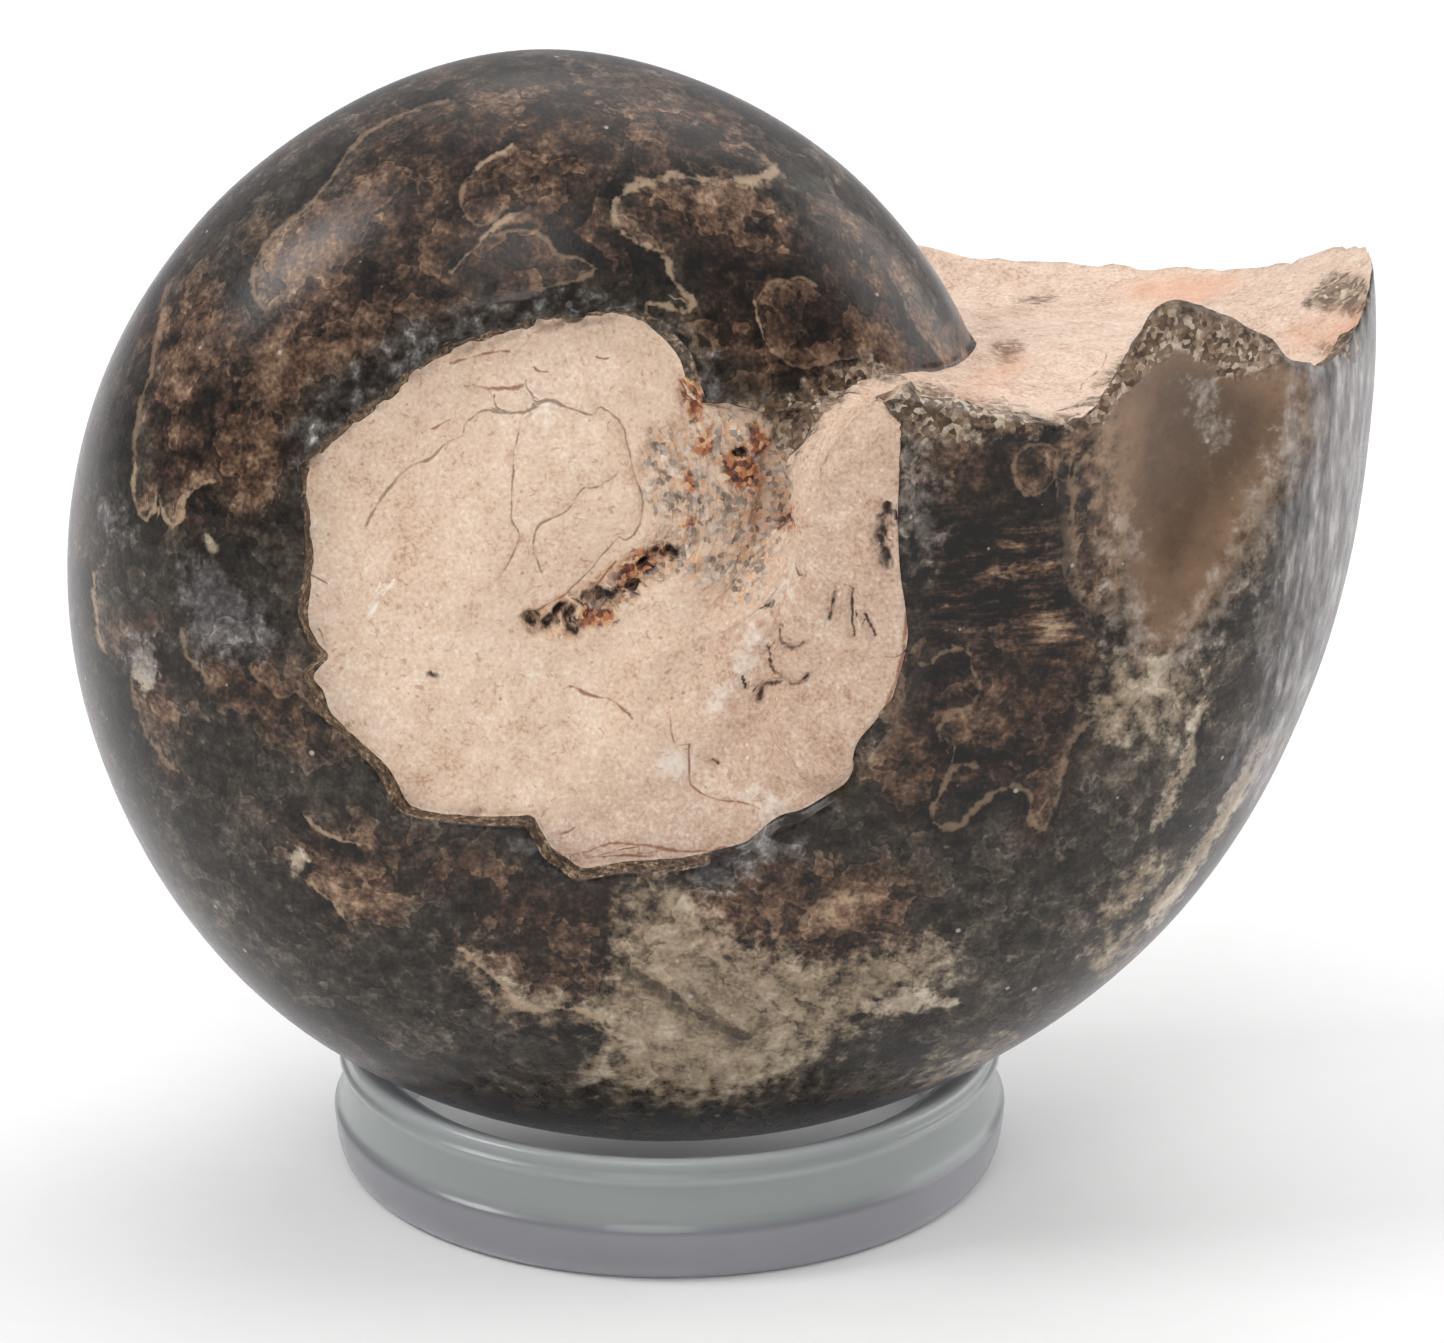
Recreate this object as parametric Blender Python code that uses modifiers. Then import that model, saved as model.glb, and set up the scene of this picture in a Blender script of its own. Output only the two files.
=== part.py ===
"""A polished Vascoceras ammonite standing on its keel in a clear ring stand.

Two separate pieces: the fossil is one stone, with the limestone that fills its
navels and its mouth, and the stand is one turned ring of clear acrylic.
Lengths are millimetres here and become metres as the meshes are filled. +Z is
up, the side of the fossil that is on show faces -Y, and the origin lies on the
table under the middle of the object's box.
"""
import math

import bmesh
import bpy
import numpy as np

MM = 0.001

# Ring stand: a short turned ring with a flared foot, a cove and a thin collar
RING_RADIUS = 25.4
RING_HEIGHT = 9.4
RING_FOOT_RADIUS = 24.4
RING_FOOT_TOP = 4.0
RING_COVE_RADIUS = 24.75
RING_BEAD_HEIGHT = 8.0
RING_BEAD_RADIUS = 24.95
RING_COLLAR_RADIUS = 24.6
RING_RIM_RADIUS = 24.1
RING_SEAT_RADIUS = 21.4
RING_SEAT_HEIGHT = 7.6
RING_BORE_RADIUS = 21.0
RING_EASE = 0.35
RING_FOOT_SWELL = 0.2
RING_STEPS = 48
RING_MERGE = 0.00001

# Coil of the shell: its axis is nearly level and points at the show side
COIL_CENTRE = (-3.9, -3.0, 51.9)
COIL_TILT = math.radians(2.5)

# Keel: its distance from the coil's axis at bearings in degrees, anticlockwise
# from the right as the show side is looked at
KEEL = ((21, 28.6), (45, 29.3), (75, 31.4), (100, 33.9), (130, 35.4), (180, 39.5), (210, 42.5),
        (240, 46.0), (270, 48.1), (305, 50.4), (325, 51.7), (345, 52.7), (366, 55.0), (379, 57.6),
        (400, 59.5))
MOUTH_BEARING = 379.0
HALF_WIDTH_AT_MOUTH = 26.0
WIDTH_GROWTH = 0.6
SIDE_POWER = 3.2
KEEL_POWER = 2.0

# Broken edge of the shell round each navel: bearing and distance from the axis
NAVEL_SEAM = 36.0
NAVEL_SHOW_SIDE = ((39, 18.6), (47, 15.6), (55, 14.4), (63, 14.0), (69, 15.7), (77, 17.2),
                   (90, 18.0), (114, 18.2), (127, 19.3), (142, 19.8), (159, 22.2), (176, 20.8),
                   (188, 21.4), (206, 21.7), (217, 21.0), (228, 21.2), (236, 19.6), (245, 18.7),
                   (255, 19.2), (264, 20.2), (288, 20.1), (310, 20.5), (323, 21.6), (330, 20.4),
                   (341, 21.1), (361, 20.8), (373, 21.0), (387, 22.8), (396, 24.2))
NAVEL_FAR_SIDE = ((39, 17.5), (60, 15.8), (85, 17.4), (110, 17.0), (140, 18.6), (165, 20.6),
                  (190, 19.4), (225, 20.8), (250, 19.0), (280, 20.4), (310, 19.6), (335, 21.4),
                  (365, 20.2), (396, 23.4))
NAVEL_MEAN = 18.5
NAVEL_BLEND = 3

# Fill of the navels: half width at the axis, how it rises to the edge, and the shell's
# broken edge round it, which is worn down towards the mouth (bearings of its full step)
FLOOR_DEPTH = 18.8
FLOOR_CURVE = 1.25
FLOOR_LIP = 0.8
SHELL_THICKNESS = 1.3
SHELL_EDGE_BEVEL = 0.5
SHELL_EDGE_WORN = 0.3
SHELL_EDGE_STEEP = (60.0, 120.0, 280.0, 340.0)

# Fold that winds into each navel, where a turn overlaps the one before it: how far it
# turns, how wide its steep face is, and where it fades out near the axis
FOLD_TURN = 62.0
FOLD_REACH = 15.6
FOLD_POWER = 2.3
FOLD_WIDTH = 2.4
FOLD_OUTER = 24.0
FOLD_FACE_AT_RIM = 3.0
FOLD_FACE_MOST = 60.0
FOLD_START = 3.5
FOLD_FADE = 10.0

# Mouth: distance from the axis and bearing along each lip, along the fill
# behind the lips, and where the older turn comes out of the fill
LIP_SHOW_SIDE = ((24.6, 36.0), (27.0, 30.5), (30.0, 25.5), (33.0, 21.8), (35.5, 21.6),
                 (38.7, 25.1), (43.3, 27.6), (45.4, 24.8), (47.4, 21.5), (49.5, 17.9),
                 (53.4, 15.6), (55.9, 17.0), (57.6, 19.0))
LIP_FAR_SIDE = ((23.8, 36.0), (26.0, 30.0), (29.0, 25.5), (35.0, 21.0), (43.6, 17.5),
                (52.9, 16.9), (55.8, 18.4), (57.6, 19.0))
FILL = ((23.0, 34.5), (27.0, 28.5), (33.0, 21.0), (40.0, 19.4), (50.0, 16.6), (57.6, 18.0))
OLDER_TURN = ((19.0, 39.0), (24.0, 32.0), (27.4, 26.5), (30.2, 23.2))
MOUTH_MIDDLE = 42.0
LIP_THICKNESS = 1.7
LIP_BACK_DROP = 0.6
FILL_INSET = 3.4
FILL_DROP = 0.8
FILL_HOLLOW = 1.4

# Hollow ground into the show side below the lip, measured from the axis
HOLLOW_CENTRE = (40.6, 9.2)
HOLLOW_HALF_LENGTH = 16.0
HOLLOW_HALF_WIDTH = 9.0
HOLLOW_LEAN = math.radians(26)
HOLLOW_DEPTH = 2.8
HOLLOW_FADE = 6.0

# Rows and columns of the fossil's mesh, and how far across the mouth from the lip, as
# a share, the back of the lip and the start of the fill lie
FLOOR_ROWS = 8
SIDE_ROWS = 15
WHORL_COLUMNS = 58
MOUTH_COLUMNS = 6
LIP_BACK_AT = 1 / (MOUTH_COLUMNS + 1)
FILL_AT = 2 / (MOUTH_COLUMNS + 1)
SEAM_MEETING = 0.93


def curve(at, knots):
    """Value of a soft curve through knots of (place, value)."""
    place = np.array([knot[0] for knot in knots], float)
    value = np.array([knot[1] for knot in knots], float)
    slope = np.gradient(value, place)
    at = np.clip(at, place[0], place[-1])
    i = np.clip(np.searchsorted(place, at, side="right") - 1, 0, len(place) - 2)
    span = place[i + 1] - place[i]
    t = (at - place[i]) / span
    start = (1 + 2 * t) * (1 - t) ** 2 * value[i] + t * (1 - t) ** 2 * span * slope[i]
    end = t**2 * (3 - 2 * t) * value[i + 1] - t**2 * (1 - t) * span * slope[i + 1]
    return start + end


def ease(t):
    """Smooth step from 0 to 1."""
    t = np.clip(t, 0.0, 1.0)
    return t * t * (3 - 2 * t)


def half_width(bearing):
    """Half the width of the turn at a bearing."""
    growth = curve(bearing, KEEL) / curve(MOUTH_BEARING, KEEL)
    return HALF_WIDTH_AT_MOUTH * growth**WIDTH_GROWTH


def section(bearing, edge, q):
    """Radius and half width of the shell, from q = 0 at the navel's edge to 1 on the keel."""
    keel = curve(bearing, KEEL)
    first = np.arcsin((edge / keel) ** (SIDE_POWER / 2))
    turn = first + (math.pi / 2 - first) * q
    radius = keel * np.sin(turn) ** (2 / SIDE_POWER)
    return radius, half_width(bearing) * np.clip(np.cos(turn), 0, 1) ** (2 / KEEL_POWER)


def polar(radius, bearing, width):
    """Points from their distance to the axis, bearing and half width."""
    a = np.radians(bearing)
    return np.stack([radius * np.cos(a), width + 0 * a, radius * np.sin(a)], axis=-1)


def fold_bearing(radius):
    """Bearing of the fold's crest at a distance from the axis."""
    inward = np.clip(FOLD_OUTER - radius, 0.0, FOLD_OUTER) / FOLD_REACH
    return NAVEL_SEAM - FOLD_TURN * inward**FOLD_POWER


def fold_face(radius):
    """Degrees that the fold's steep face takes up at a distance from the axis."""
    return np.clip(np.degrees(FOLD_WIDTH / np.maximum(radius, 1.0)), FOLD_FACE_AT_RIM, FOLD_FACE_MOST)


def fill_at_edge(bearing, navel):
    """Half width of the fill where it meets the broken shell."""
    rise, full, fall, end = SHELL_EDGE_STEEP
    steep = ease((bearing - rise) / (full - rise)) * (1 - ease((bearing - fall) / (end - fall)))
    step = SHELL_THICKNESS * (SHELL_EDGE_WORN + (1 - SHELL_EDGE_WORN) * steep)
    return section(bearing, curve(bearing, navel), 0.0)[1] - step


def floor_points(s, along, across_mouth, navel, lip):
    """Points of one navel's fill: s from the axis to the edge, along the turn, across the seam."""
    in_seam = across_mouth > 0
    radius = NAVEL_MEAN * s + (FOLD_OUTER - NAVEL_MEAN) * s**NAVEL_BLEND
    face = fold_face(radius)
    past_fold = np.where(in_seam, across_mouth * face, face + along * (360 - face))
    bearing = fold_bearing(radius) + past_fold
    first, last = NAVEL_SEAM + FOLD_FACE_AT_RIM, NAVEL_SEAM + 360
    on_turn = first + along * (last - first)
    edge = np.where(in_seam, curve(last, navel) + (curve(first, navel) - curve(last, navel)) * across_mouth,
                    curve(on_turn, navel))
    high, low = fill_at_edge(last, navel), fill_at_edge(first, navel)
    level = np.where(in_seam, high + (low - high) * ease(across_mouth), fill_at_edge(on_turn, navel))
    middle = (high + low) / 2
    level = middle + (level - middle) * ease((radius - FOLD_START) / FOLD_FADE)
    width = FLOOR_DEPTH + (level - FLOOR_DEPTH) * s**FLOOR_CURVE
    width = width + (level - width) * ease((s - FLOOR_LIP) / (1 - FLOOR_LIP))
    floor = polar(NAVEL_MEAN * s + (edge - NAVEL_MEAN) * s**NAVEL_BLEND, bearing, width)
    seam_rim = side_points(0.0, along, across_mouth, navel, lip)
    to_rim = np.where(in_seam, ease((s - FLOOR_LIP) / (1 - FLOOR_LIP)), 0.0)
    return floor + (seam_rim - floor) * to_rim[..., None] * SEAM_MEETING


def side_points(q, along, across_mouth, navel, lip):
    """Points of one side of the shell and of the mouth: q from the navel's edge to the keel."""
    first, last = NAVEL_SEAM + FOLD_FACE_AT_RIM, NAVEL_SEAM + 360
    edge = curve(first + along * (last - first), navel) + SHELL_EDGE_BEVEL
    first_edge = curve(first, navel) + SHELL_EDGE_BEVEL
    last_edge = curve(last, navel) + SHELL_EDGE_BEVEL
    start = curve(section(OLDER_TURN[-1][1], first_edge, q)[0], OLDER_TURN)
    end = curve(section(MOUTH_BEARING, last_edge, q)[0], lip) + 360
    bearing = start + along * (end - start)
    radius, width = section(bearing, edge, q)
    shell = polar(radius, bearing, width)

    lip_radius, lip_width = section(end, last_edge, q)
    old_radius, old_width = section(start, first_edge, q)
    lip_point = polar(lip_radius, end, lip_width)
    old_point = polar(old_radius, start, old_width)
    inward = np.stack([MOUTH_MIDDLE - lip_radius, -lip_width], axis=-1)
    inward = inward / np.maximum(np.linalg.norm(inward, axis=-1, keepdims=True), 1.0)
    lip_back = polar(lip_radius + LIP_THICKNESS * inward[..., 0], end - LIP_BACK_DROP,
                     lip_width + LIP_THICKNESS * inward[..., 1])
    fill_bearing = np.minimum(curve(lip_radius, FILL), end - 360 - FILL_DROP)
    fill_point = polar(lip_radius + FILL_INSET * inward[..., 0], fill_bearing,
                       lip_width + FILL_INSET * inward[..., 1])
    to_back = np.clip(across_mouth / LIP_BACK_AT, 0, 1)[..., None]
    to_fill = np.clip((across_mouth - LIP_BACK_AT) / (FILL_AT - LIP_BACK_AT), 0, 1)[..., None]
    to_old = np.clip((across_mouth - FILL_AT) / (1 - FILL_AT), 0, 1)[..., None]
    mouth = (lip_point + (lip_back - lip_point) * to_back + (fill_point - lip_back) * to_fill
             + (old_point - fill_point) * to_old)
    mouth = mouth + FILL_HOLLOW * np.sin(math.pi * to_old) * polar(1.0, MOUTH_BEARING - 90, 0.0)
    return np.where((across_mouth > 0)[..., None], mouth, shell)


def ground_hollow(points):
    """Push the show side in where the hollow is ground."""
    x = points[..., 0] - HOLLOW_CENTRE[0]
    z = points[..., 2] - HOLLOW_CENTRE[1]
    lengthways = (z * math.cos(HOLLOW_LEAN) + x * math.sin(HOLLOW_LEAN)) / HOLLOW_HALF_LENGTH
    sideways = (x * math.cos(HOLLOW_LEAN) - z * math.sin(HOLLOW_LEAN)) / HOLLOW_HALF_WIDTH
    inside = np.clip(1 - lengthways**2 - sideways**2, 0, 1)
    depth = HOLLOW_DEPTH * inside**2 * ease(points[..., 1] / HOLLOW_FADE)
    return points - depth[..., None] * np.array([0.0, 1.0, 0.0])


def fossil_points(row, column):
    """Points of the fossil from whole rows, show side to far side, and columns round the coil."""
    along = np.clip(column / (WHORL_COLUMNS - 1), 0, 1)
    across_mouth = np.clip((column - WHORL_COLUMNS + 1) / (MOUTH_COLUMNS + 1), 0, 1)
    last_row = 2 * (FLOOR_ROWS + SIDE_ROWS + 1)
    far = row > last_row / 2
    inner = np.where(far, last_row - row, row)
    s = np.clip(inner / FLOOR_ROWS, 0, 1)
    q = np.clip((inner - FLOOR_ROWS - 1) / SIDE_ROWS, 0, 1)
    on_floor = (inner <= FLOOR_ROWS)[..., None]
    show = np.where(on_floor, floor_points(s, along, across_mouth, NAVEL_SHOW_SIDE, LIP_SHOW_SIDE),
                    side_points(q, along, across_mouth, NAVEL_SHOW_SIDE, LIP_SHOW_SIDE))
    back = np.where(on_floor, floor_points(s, along, across_mouth, NAVEL_FAR_SIDE, LIP_FAR_SIDE),
                    side_points(q, along, across_mouth, NAVEL_FAR_SIDE, LIP_FAR_SIDE))
    show = ground_hollow(show) * np.array([1.0, -1.0, 1.0])
    local = np.where(far[..., None], back, show)
    x, y, z = local[..., 0], local[..., 1], local[..., 2]
    tilted = np.stack([x, y * math.cos(COIL_TILT) + z * math.sin(COIL_TILT),
                       z * math.cos(COIL_TILT) - y * math.sin(COIL_TILT)], axis=-1)
    return tilted + np.array(COIL_CENTRE)


def material(name, colour, roughness, transmission=0.0):
    made = bpy.data.materials.new(name)
    made.use_nodes = True
    shader = made.node_tree.nodes["Principled BSDF"]
    shader.inputs["Base Color"].default_value = (*colour, 1.0)
    shader.inputs["Roughness"].default_value = roughness
    shader.inputs["Metallic"].default_value = 0.0
    shader.inputs["Transmission Weight"].default_value = transmission
    made.diffuse_color = (*colour, 1.0)
    return made


def make_fossil(collection):
    """A ball whose poles are the two navels: each meridian becomes a section of the coil."""
    columns = WHORL_COLUMNS + MOUTH_COLUMNS
    rows = 2 * (FLOOR_ROWS + SIDE_ROWS + 1)
    ball = bmesh.new()
    bmesh.ops.create_uvsphere(ball, u_segments=columns, v_segments=rows, radius=1.0)
    ball.verts.ensure_lookup_table()
    at = np.array([vert.co[:] for vert in ball.verts])
    row = np.rint(np.arccos(np.clip(at[:, 2], -1, 1)) / math.pi * rows)
    column = np.mod(np.rint(np.arctan2(at[:, 1], at[:, 0]) / (2 * math.pi) * columns), columns)
    points = fossil_points(row, column)
    for vert, point in zip(ball.verts, points):
        vert.co = point * MM
    mesh = bpy.data.meshes.new("ammonite")
    ball.to_mesh(mesh)
    ball.free()
    mesh.shade_smooth()
    mesh.set_sharp_from_angle(angle=math.radians(50))
    mesh.materials.append(material("polished_fossil_stone", (0.10, 0.08, 0.06), 0.3))
    fossil = bpy.data.objects.new("ammonite", mesh)
    collection.objects.link(fossil)
    return fossil


def ring_profile():
    """Closed outline of the ring's wall, from the rim down the outside and up the bore."""
    cove_points = 4
    outline = [(RING_RIM_RADIUS, RING_HEIGHT), (RING_COLLAR_RADIUS, RING_HEIGHT - RING_EASE),
               (RING_COLLAR_RADIUS, RING_BEAD_HEIGHT + RING_EASE),
               (RING_BEAD_RADIUS, RING_BEAD_HEIGHT)]
    for step in range(1, cove_points + 1):
        t = step / (cove_points + 1)
        height = RING_BEAD_HEIGHT + (RING_FOOT_TOP + RING_EASE - RING_BEAD_HEIGHT) * t
        swell = (RING_RADIUS - RING_COVE_RADIUS) * t**3
        outline.append((RING_COVE_RADIUS + swell, height))
    outline += [(RING_RADIUS, RING_FOOT_TOP), (RING_RADIUS - RING_FOOT_SWELL, RING_FOOT_TOP / 2),
                (RING_FOOT_RADIUS, RING_EASE), (RING_FOOT_RADIUS - RING_EASE, 0.0),
                (RING_BORE_RADIUS + RING_EASE, 0.0), (RING_BORE_RADIUS, RING_EASE),
                (RING_BORE_RADIUS, RING_SEAT_HEIGHT - RING_EASE),
                (RING_SEAT_RADIUS, RING_SEAT_HEIGHT)]
    return outline


def make_ring(collection):
    outline = ring_profile()
    count = len(outline)
    mesh = bpy.data.meshes.new("ring_stand")
    mesh.from_pydata([(r * MM, 0.0, z * MM) for r, z in outline],
                     [(i, (i + 1) % count) for i in range(count)], [])
    mesh.materials.append(material("clear_acrylic", (0.72, 0.75, 0.76), 0.25, 0.9))
    ring = bpy.data.objects.new("ring_stand", mesh)
    collection.objects.link(ring)
    turned = ring.modifiers.new("turned", "SCREW")
    turned.axis = "Z"
    turned.steps = RING_STEPS
    turned.render_steps = RING_STEPS
    turned.use_merge_vertices = True
    turned.merge_threshold = RING_MERGE
    return ring


def stand_over_origin(fossil, ring):
    """Move both pieces so that the middle of the object's box is over the origin."""
    points = np.array([vert.co[:] for vert in fossil.data.vertices])
    low = np.minimum(points.min(axis=0)[:2], -RING_RADIUS * MM)
    high = np.maximum(points.max(axis=0)[:2], RING_RADIUS * MM)
    middle = (low + high) / 2
    for piece in (fossil, ring):
        piece.location = (-middle[0], -middle[1], 0.0)


def main():
    for thing in list(bpy.data.objects):
        bpy.data.objects.remove(thing)
    collection = bpy.data.collections.new("vascoceras_ammonite")
    bpy.context.scene.collection.children.link(collection)
    fossil = make_fossil(collection)
    ring = make_ring(collection)
    stand_over_origin(fossil, ring)


main()
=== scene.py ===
"""A polished Vascoceras ammonite in its clear ring stand, dressed for a close look.

The stone is wound again from the same sections as the solid model, on a finer
mesh, so that its broken shell edge, cracks, pits, fold and lip are real relief.
Lengths are millimetres and become metres as the meshes are filled.
"""
import functools
import math

import bpy
import numpy as np
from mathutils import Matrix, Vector, noise


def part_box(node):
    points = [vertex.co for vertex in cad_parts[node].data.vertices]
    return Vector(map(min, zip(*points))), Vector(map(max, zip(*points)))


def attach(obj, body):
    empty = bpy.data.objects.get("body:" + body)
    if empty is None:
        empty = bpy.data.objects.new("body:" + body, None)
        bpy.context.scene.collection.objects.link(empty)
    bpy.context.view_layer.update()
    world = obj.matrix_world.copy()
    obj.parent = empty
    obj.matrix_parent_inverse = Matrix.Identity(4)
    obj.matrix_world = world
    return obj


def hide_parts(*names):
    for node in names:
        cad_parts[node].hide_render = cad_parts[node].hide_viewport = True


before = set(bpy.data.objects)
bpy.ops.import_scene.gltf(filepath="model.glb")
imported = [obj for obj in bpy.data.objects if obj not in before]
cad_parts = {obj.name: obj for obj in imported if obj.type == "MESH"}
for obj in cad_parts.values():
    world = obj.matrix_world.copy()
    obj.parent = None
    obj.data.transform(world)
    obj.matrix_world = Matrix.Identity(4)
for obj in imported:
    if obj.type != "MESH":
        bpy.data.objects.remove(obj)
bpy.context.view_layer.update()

MM = 0.001
TINY = 1e-9

# Where the photograph was taken from, measured from the ring's centre on the table
VIEW_AIM = (3.97, 0.0, 38.0)
VIEW_DISTANCE = 450.0
VIEW_DOWN = math.radians(19.8)
PHOTO_WIDE = 1444
PHOTO_HIGH = 1343
LENS_IN_PIXELS = 6078.6
SENSOR_WIDTH = 36.0

# Coil of the shell: its axis is nearly level and points at the show side
COIL_CENTRE = (-3.9, -3.0, 51.9)
COIL_TILT = math.radians(2.5)

# Keel: its distance from the coil's axis at bearings in degrees, anticlockwise
# from the right as the show side is looked at
KEEL = ((21, 28.6), (45, 29.3), (75, 31.4), (100, 33.9), (130, 35.4), (180, 39.5), (210, 42.5),
        (240, 46.0), (270, 48.1), (305, 50.4), (325, 51.7), (345, 52.7), (366, 55.0), (379, 57.6),
        (400, 59.5))
MOUTH_BEARING = 379.0
HALF_WIDTH_AT_MOUTH = 26.0
WIDTH_GROWTH = 0.6
SIDE_POWER = 3.2
KEEL_POWER = 2.0

# Broken edge of the shell round the far navel: bearing and distance from the axis
NAVEL_FAR_SIDE = ((39, 17.5), (60, 15.8), (85, 17.4), (110, 17.0), (140, 18.6), (165, 20.6),
                  (190, 19.4), (225, 20.8), (250, 19.0), (280, 20.4), (310, 19.6), (335, 21.4),
                  (365, 20.2), (396, 23.4))

# Ends of the show navel's broken edge, and the bearing of both navels' seam. From circles round
# the axis a navel's rows pass into its edge by a power. The fill follows the edge averaged over
# so many degrees to either side, and takes on its jags past a share of the way out
NAVEL_FIRST = (39, 18.6)
NAVEL_LAST = (396, 24.2)
NAVEL_SEAM = 36.0
NAVEL_MEAN = 18.5
NAVEL_BLEND = 3
EDGE_AVERAGED = 27.0
FILL_MEETS_EDGE = 0.72

# Fill of the navels and the shell's broken edge round it
FLOOR_DEPTH = 18.8
FLOOR_CURVE = 1.25
FLOOR_LIP = 0.8
SHELL_THICKNESS = 1.3
SHELL_EDGE_BEVEL = 0.5
SHELL_EDGE_WORN = 0.3
SHELL_EDGE_STEEP = (60.0, 120.0, 280.0, 340.0)

# Fold that winds into each navel, where a turn overlaps the one before it
FOLD_TURN = 62.0
FOLD_REACH = 15.6
FOLD_POWER = 2.3
FOLD_WIDTH = 2.4
FOLD_OUTER = 24.0
FOLD_FACE_AT_RIM = 3.0
FOLD_FACE_MOST = 60.0
FOLD_START = 3.5
FOLD_FADE = 10.0

# Mouth: distance from the axis and bearing along each lip, along the fill
# behind the lips, and where the older turn comes out of the fill
LIP_SHOW_SIDE = ((24.6, 36.0), (27.0, 30.5), (30.0, 25.5), (33.0, 21.8), (35.5, 21.6),
                 (38.7, 25.1), (43.3, 27.6), (45.4, 24.8), (47.4, 21.5), (49.5, 17.9),
                 (53.4, 15.6), (55.9, 17.0), (57.6, 19.0))
LIP_FAR_SIDE = ((23.8, 36.0), (26.0, 30.0), (29.0, 25.5), (35.0, 21.0), (43.6, 17.5),
                (52.9, 16.9), (55.8, 18.4), (57.6, 19.0))
FILL = ((23.0, 34.5), (27.0, 28.5), (33.0, 21.0), (40.0, 19.4), (50.0, 16.6), (57.6, 18.0))
OLDER_TURN = ((19.0, 39.0), (24.0, 32.0), (27.4, 26.5), (30.2, 23.2))
MOUTH_MIDDLE = 42.0
LIP_THICKNESS = 1.7
LIP_BACK_DROP = 0.6
LIP_BACK_AT = 1 / 7
FILL_AT = 2 / 7
FILL_INSET = 3.4
FILL_DROP = 0.8
FILL_HOLLOW = 1.4
SEAM_MEETING = 0.93

# Hollow ground into the show side below the lip, measured from the axis
HOLLOW_CENTRE = (40.6, 9.2)
HOLLOW_HALF_LENGTH = 16.0
HOLLOW_HALF_WIDTH = 9.0
HOLLOW_LEAN = math.radians(26)
HOLLOW_DEPTH = 2.8
HOLLOW_FADE = 6.0

# Fineness of the stone's mesh. The far side has half as many columns
FLOOR_ROWS = 70
EDGE_ROWS = 3
SIDE_ROWS = 111
FAR_FLOOR_ROWS = 28
FAR_EDGE_ROWS = 2
FAR_SIDE_ROWS = 48
WHORL_COLUMNS = 401
LIP_COLUMNS = 4
BEHIND_LIP_COLUMNS = 6
MOUTH_COLUMNS = 39

# The stone's three surfaces, by the slot of their material. The shell's edge is ground
# flush past a share of its turn, the near lip's past a share of the way to the keel, and
# limestone that lies further past the edge than a length in mm is the mouth's
POLISHED, CHALKY, BROKEN = 0, 1, 2
FLUSH_FROM = 0.70
NEAR_KEEL = 0.84
MOUTH_PAST_EDGE = 0.6

# Lumps of each surface's relief: their size and height in mm, and a seed. Those of the chip
# band widen it, and those of the ribs bend them
LUMPS = {
    "shell": ((7.0, 0.03, 0.0),),
    "limestone": ((2.1, 0.13, 0.0), (0.7, 0.06, 5.0)),
    "navel": ((5.5, 0.32, 7.0),),
    "mouth": ((6.0, 0.45, 9.0), (2.2, 0.22, 3.0)),
    "lip": ((1.5, 0.32, 4.0), (0.7, 0.15, 0.0)),
    "chip_band": ((2.6, 0.7, 2.0),),
    "shiny": ((1.1, 0.10, 3.0),),
    "crust": ((1.1, 0.38, 6.0),),
    "ribs": ((2.0, 2.6, 8.0),),
}
NAVEL_LUMPS_FADE = 2.5
LIP_LUMPS_REACH = 1.4

# Chips beside the navel's edge, in a band as wide as it is soft, and more of them between
# some bearings. Lengths are mm. Neighbouring chips draw their height from cells far apart
CHIP_SIZE = 1.3
CHIP_BAND = 0.9
CHIP_DEPTH = 0.12
CHIP_LEAST = 0.35
CHIP_PAST_EDGE = 0.3
CHIP_CELLS_APART = 7.3
MORE_CHIPPED = (78, 98, 160, 182)
MORE_CHIP_BAND = 1.6
MORE_CHIP_DEPTH = 0.22

# Chips of the ground shell and crystals, by size and seed, and the crust and the fold's ribs
SHINY_CHIPS = (1.6, 5.0)
SHINY_CHIP_DEPTH = 0.14
CRYSTALS = (0.75, 2.0)
CRYSTAL_HEIGHT = 0.24
CRYSTAL_SUNK = 0.3
CRUST_HEIGHT = 0.14
RIB_HEIGHT = 0.08
RIB_SPACING = 2 * math.pi / 7.4
ACROSS_RIBS = (0.793, 0.609)

# Edge of each area's relief: how far it starts outside, as a share of how soft it is, and
# how soft in mm. Then the height of the areas that are simply raised or sunk
RELIEF_EDGES = {"trough": (0.4, 1.4), "crystals": (1.0, 0.6), "rust": (1.0, 0.6), "crust": (1.0, 0.6),
                "bulge": (1.0, 1.5), "valley": (0.3, 3.0), "pocket": (0.2, 1.6), "ribs": (0.5, 1.2),
                "flakes": (1.0, 0.4), "shiny": (0.5, 0.8)}
RAISED = {"trough": -0.55, "bulge": 1.3, "valley": -0.8, "pocket": -1.4, "flakes": 0.06}

# Depth and half width of the lines that are cut, in mm. A pit is wider than its line by a factor
CUT = {"cracks": (0.13, 0.34), "red_cracks": (0.10, 0.34), "black_marks": (0.35, 0.42)}
SLOT_DEPTH = 0.8
SLOT_HALF_WIDTH = 0.6
PIT_DEPTH = 0.9
PIT_WIDER = 1.3

# Where the photograph shows the stone: the cosine of the angle between surface and sight at
# which a marking starts, and what it takes to be there in full
GRAZING = 0.04
FULL_SIGHT = 0.16

# How far a marking reaches from its listed place, in mm, pixels to a mm there, and the
# distance that stands for no line near. Beside a line the stone is paler or darker
MARK_REACH = 4.0
PIXELS_PER_MM = 13.5
NO_LINE = 36.0
SMOOTHING_STEPS = 3
GLOW_REACH = 1.3
GLOW_CORE = 0.05

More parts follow.
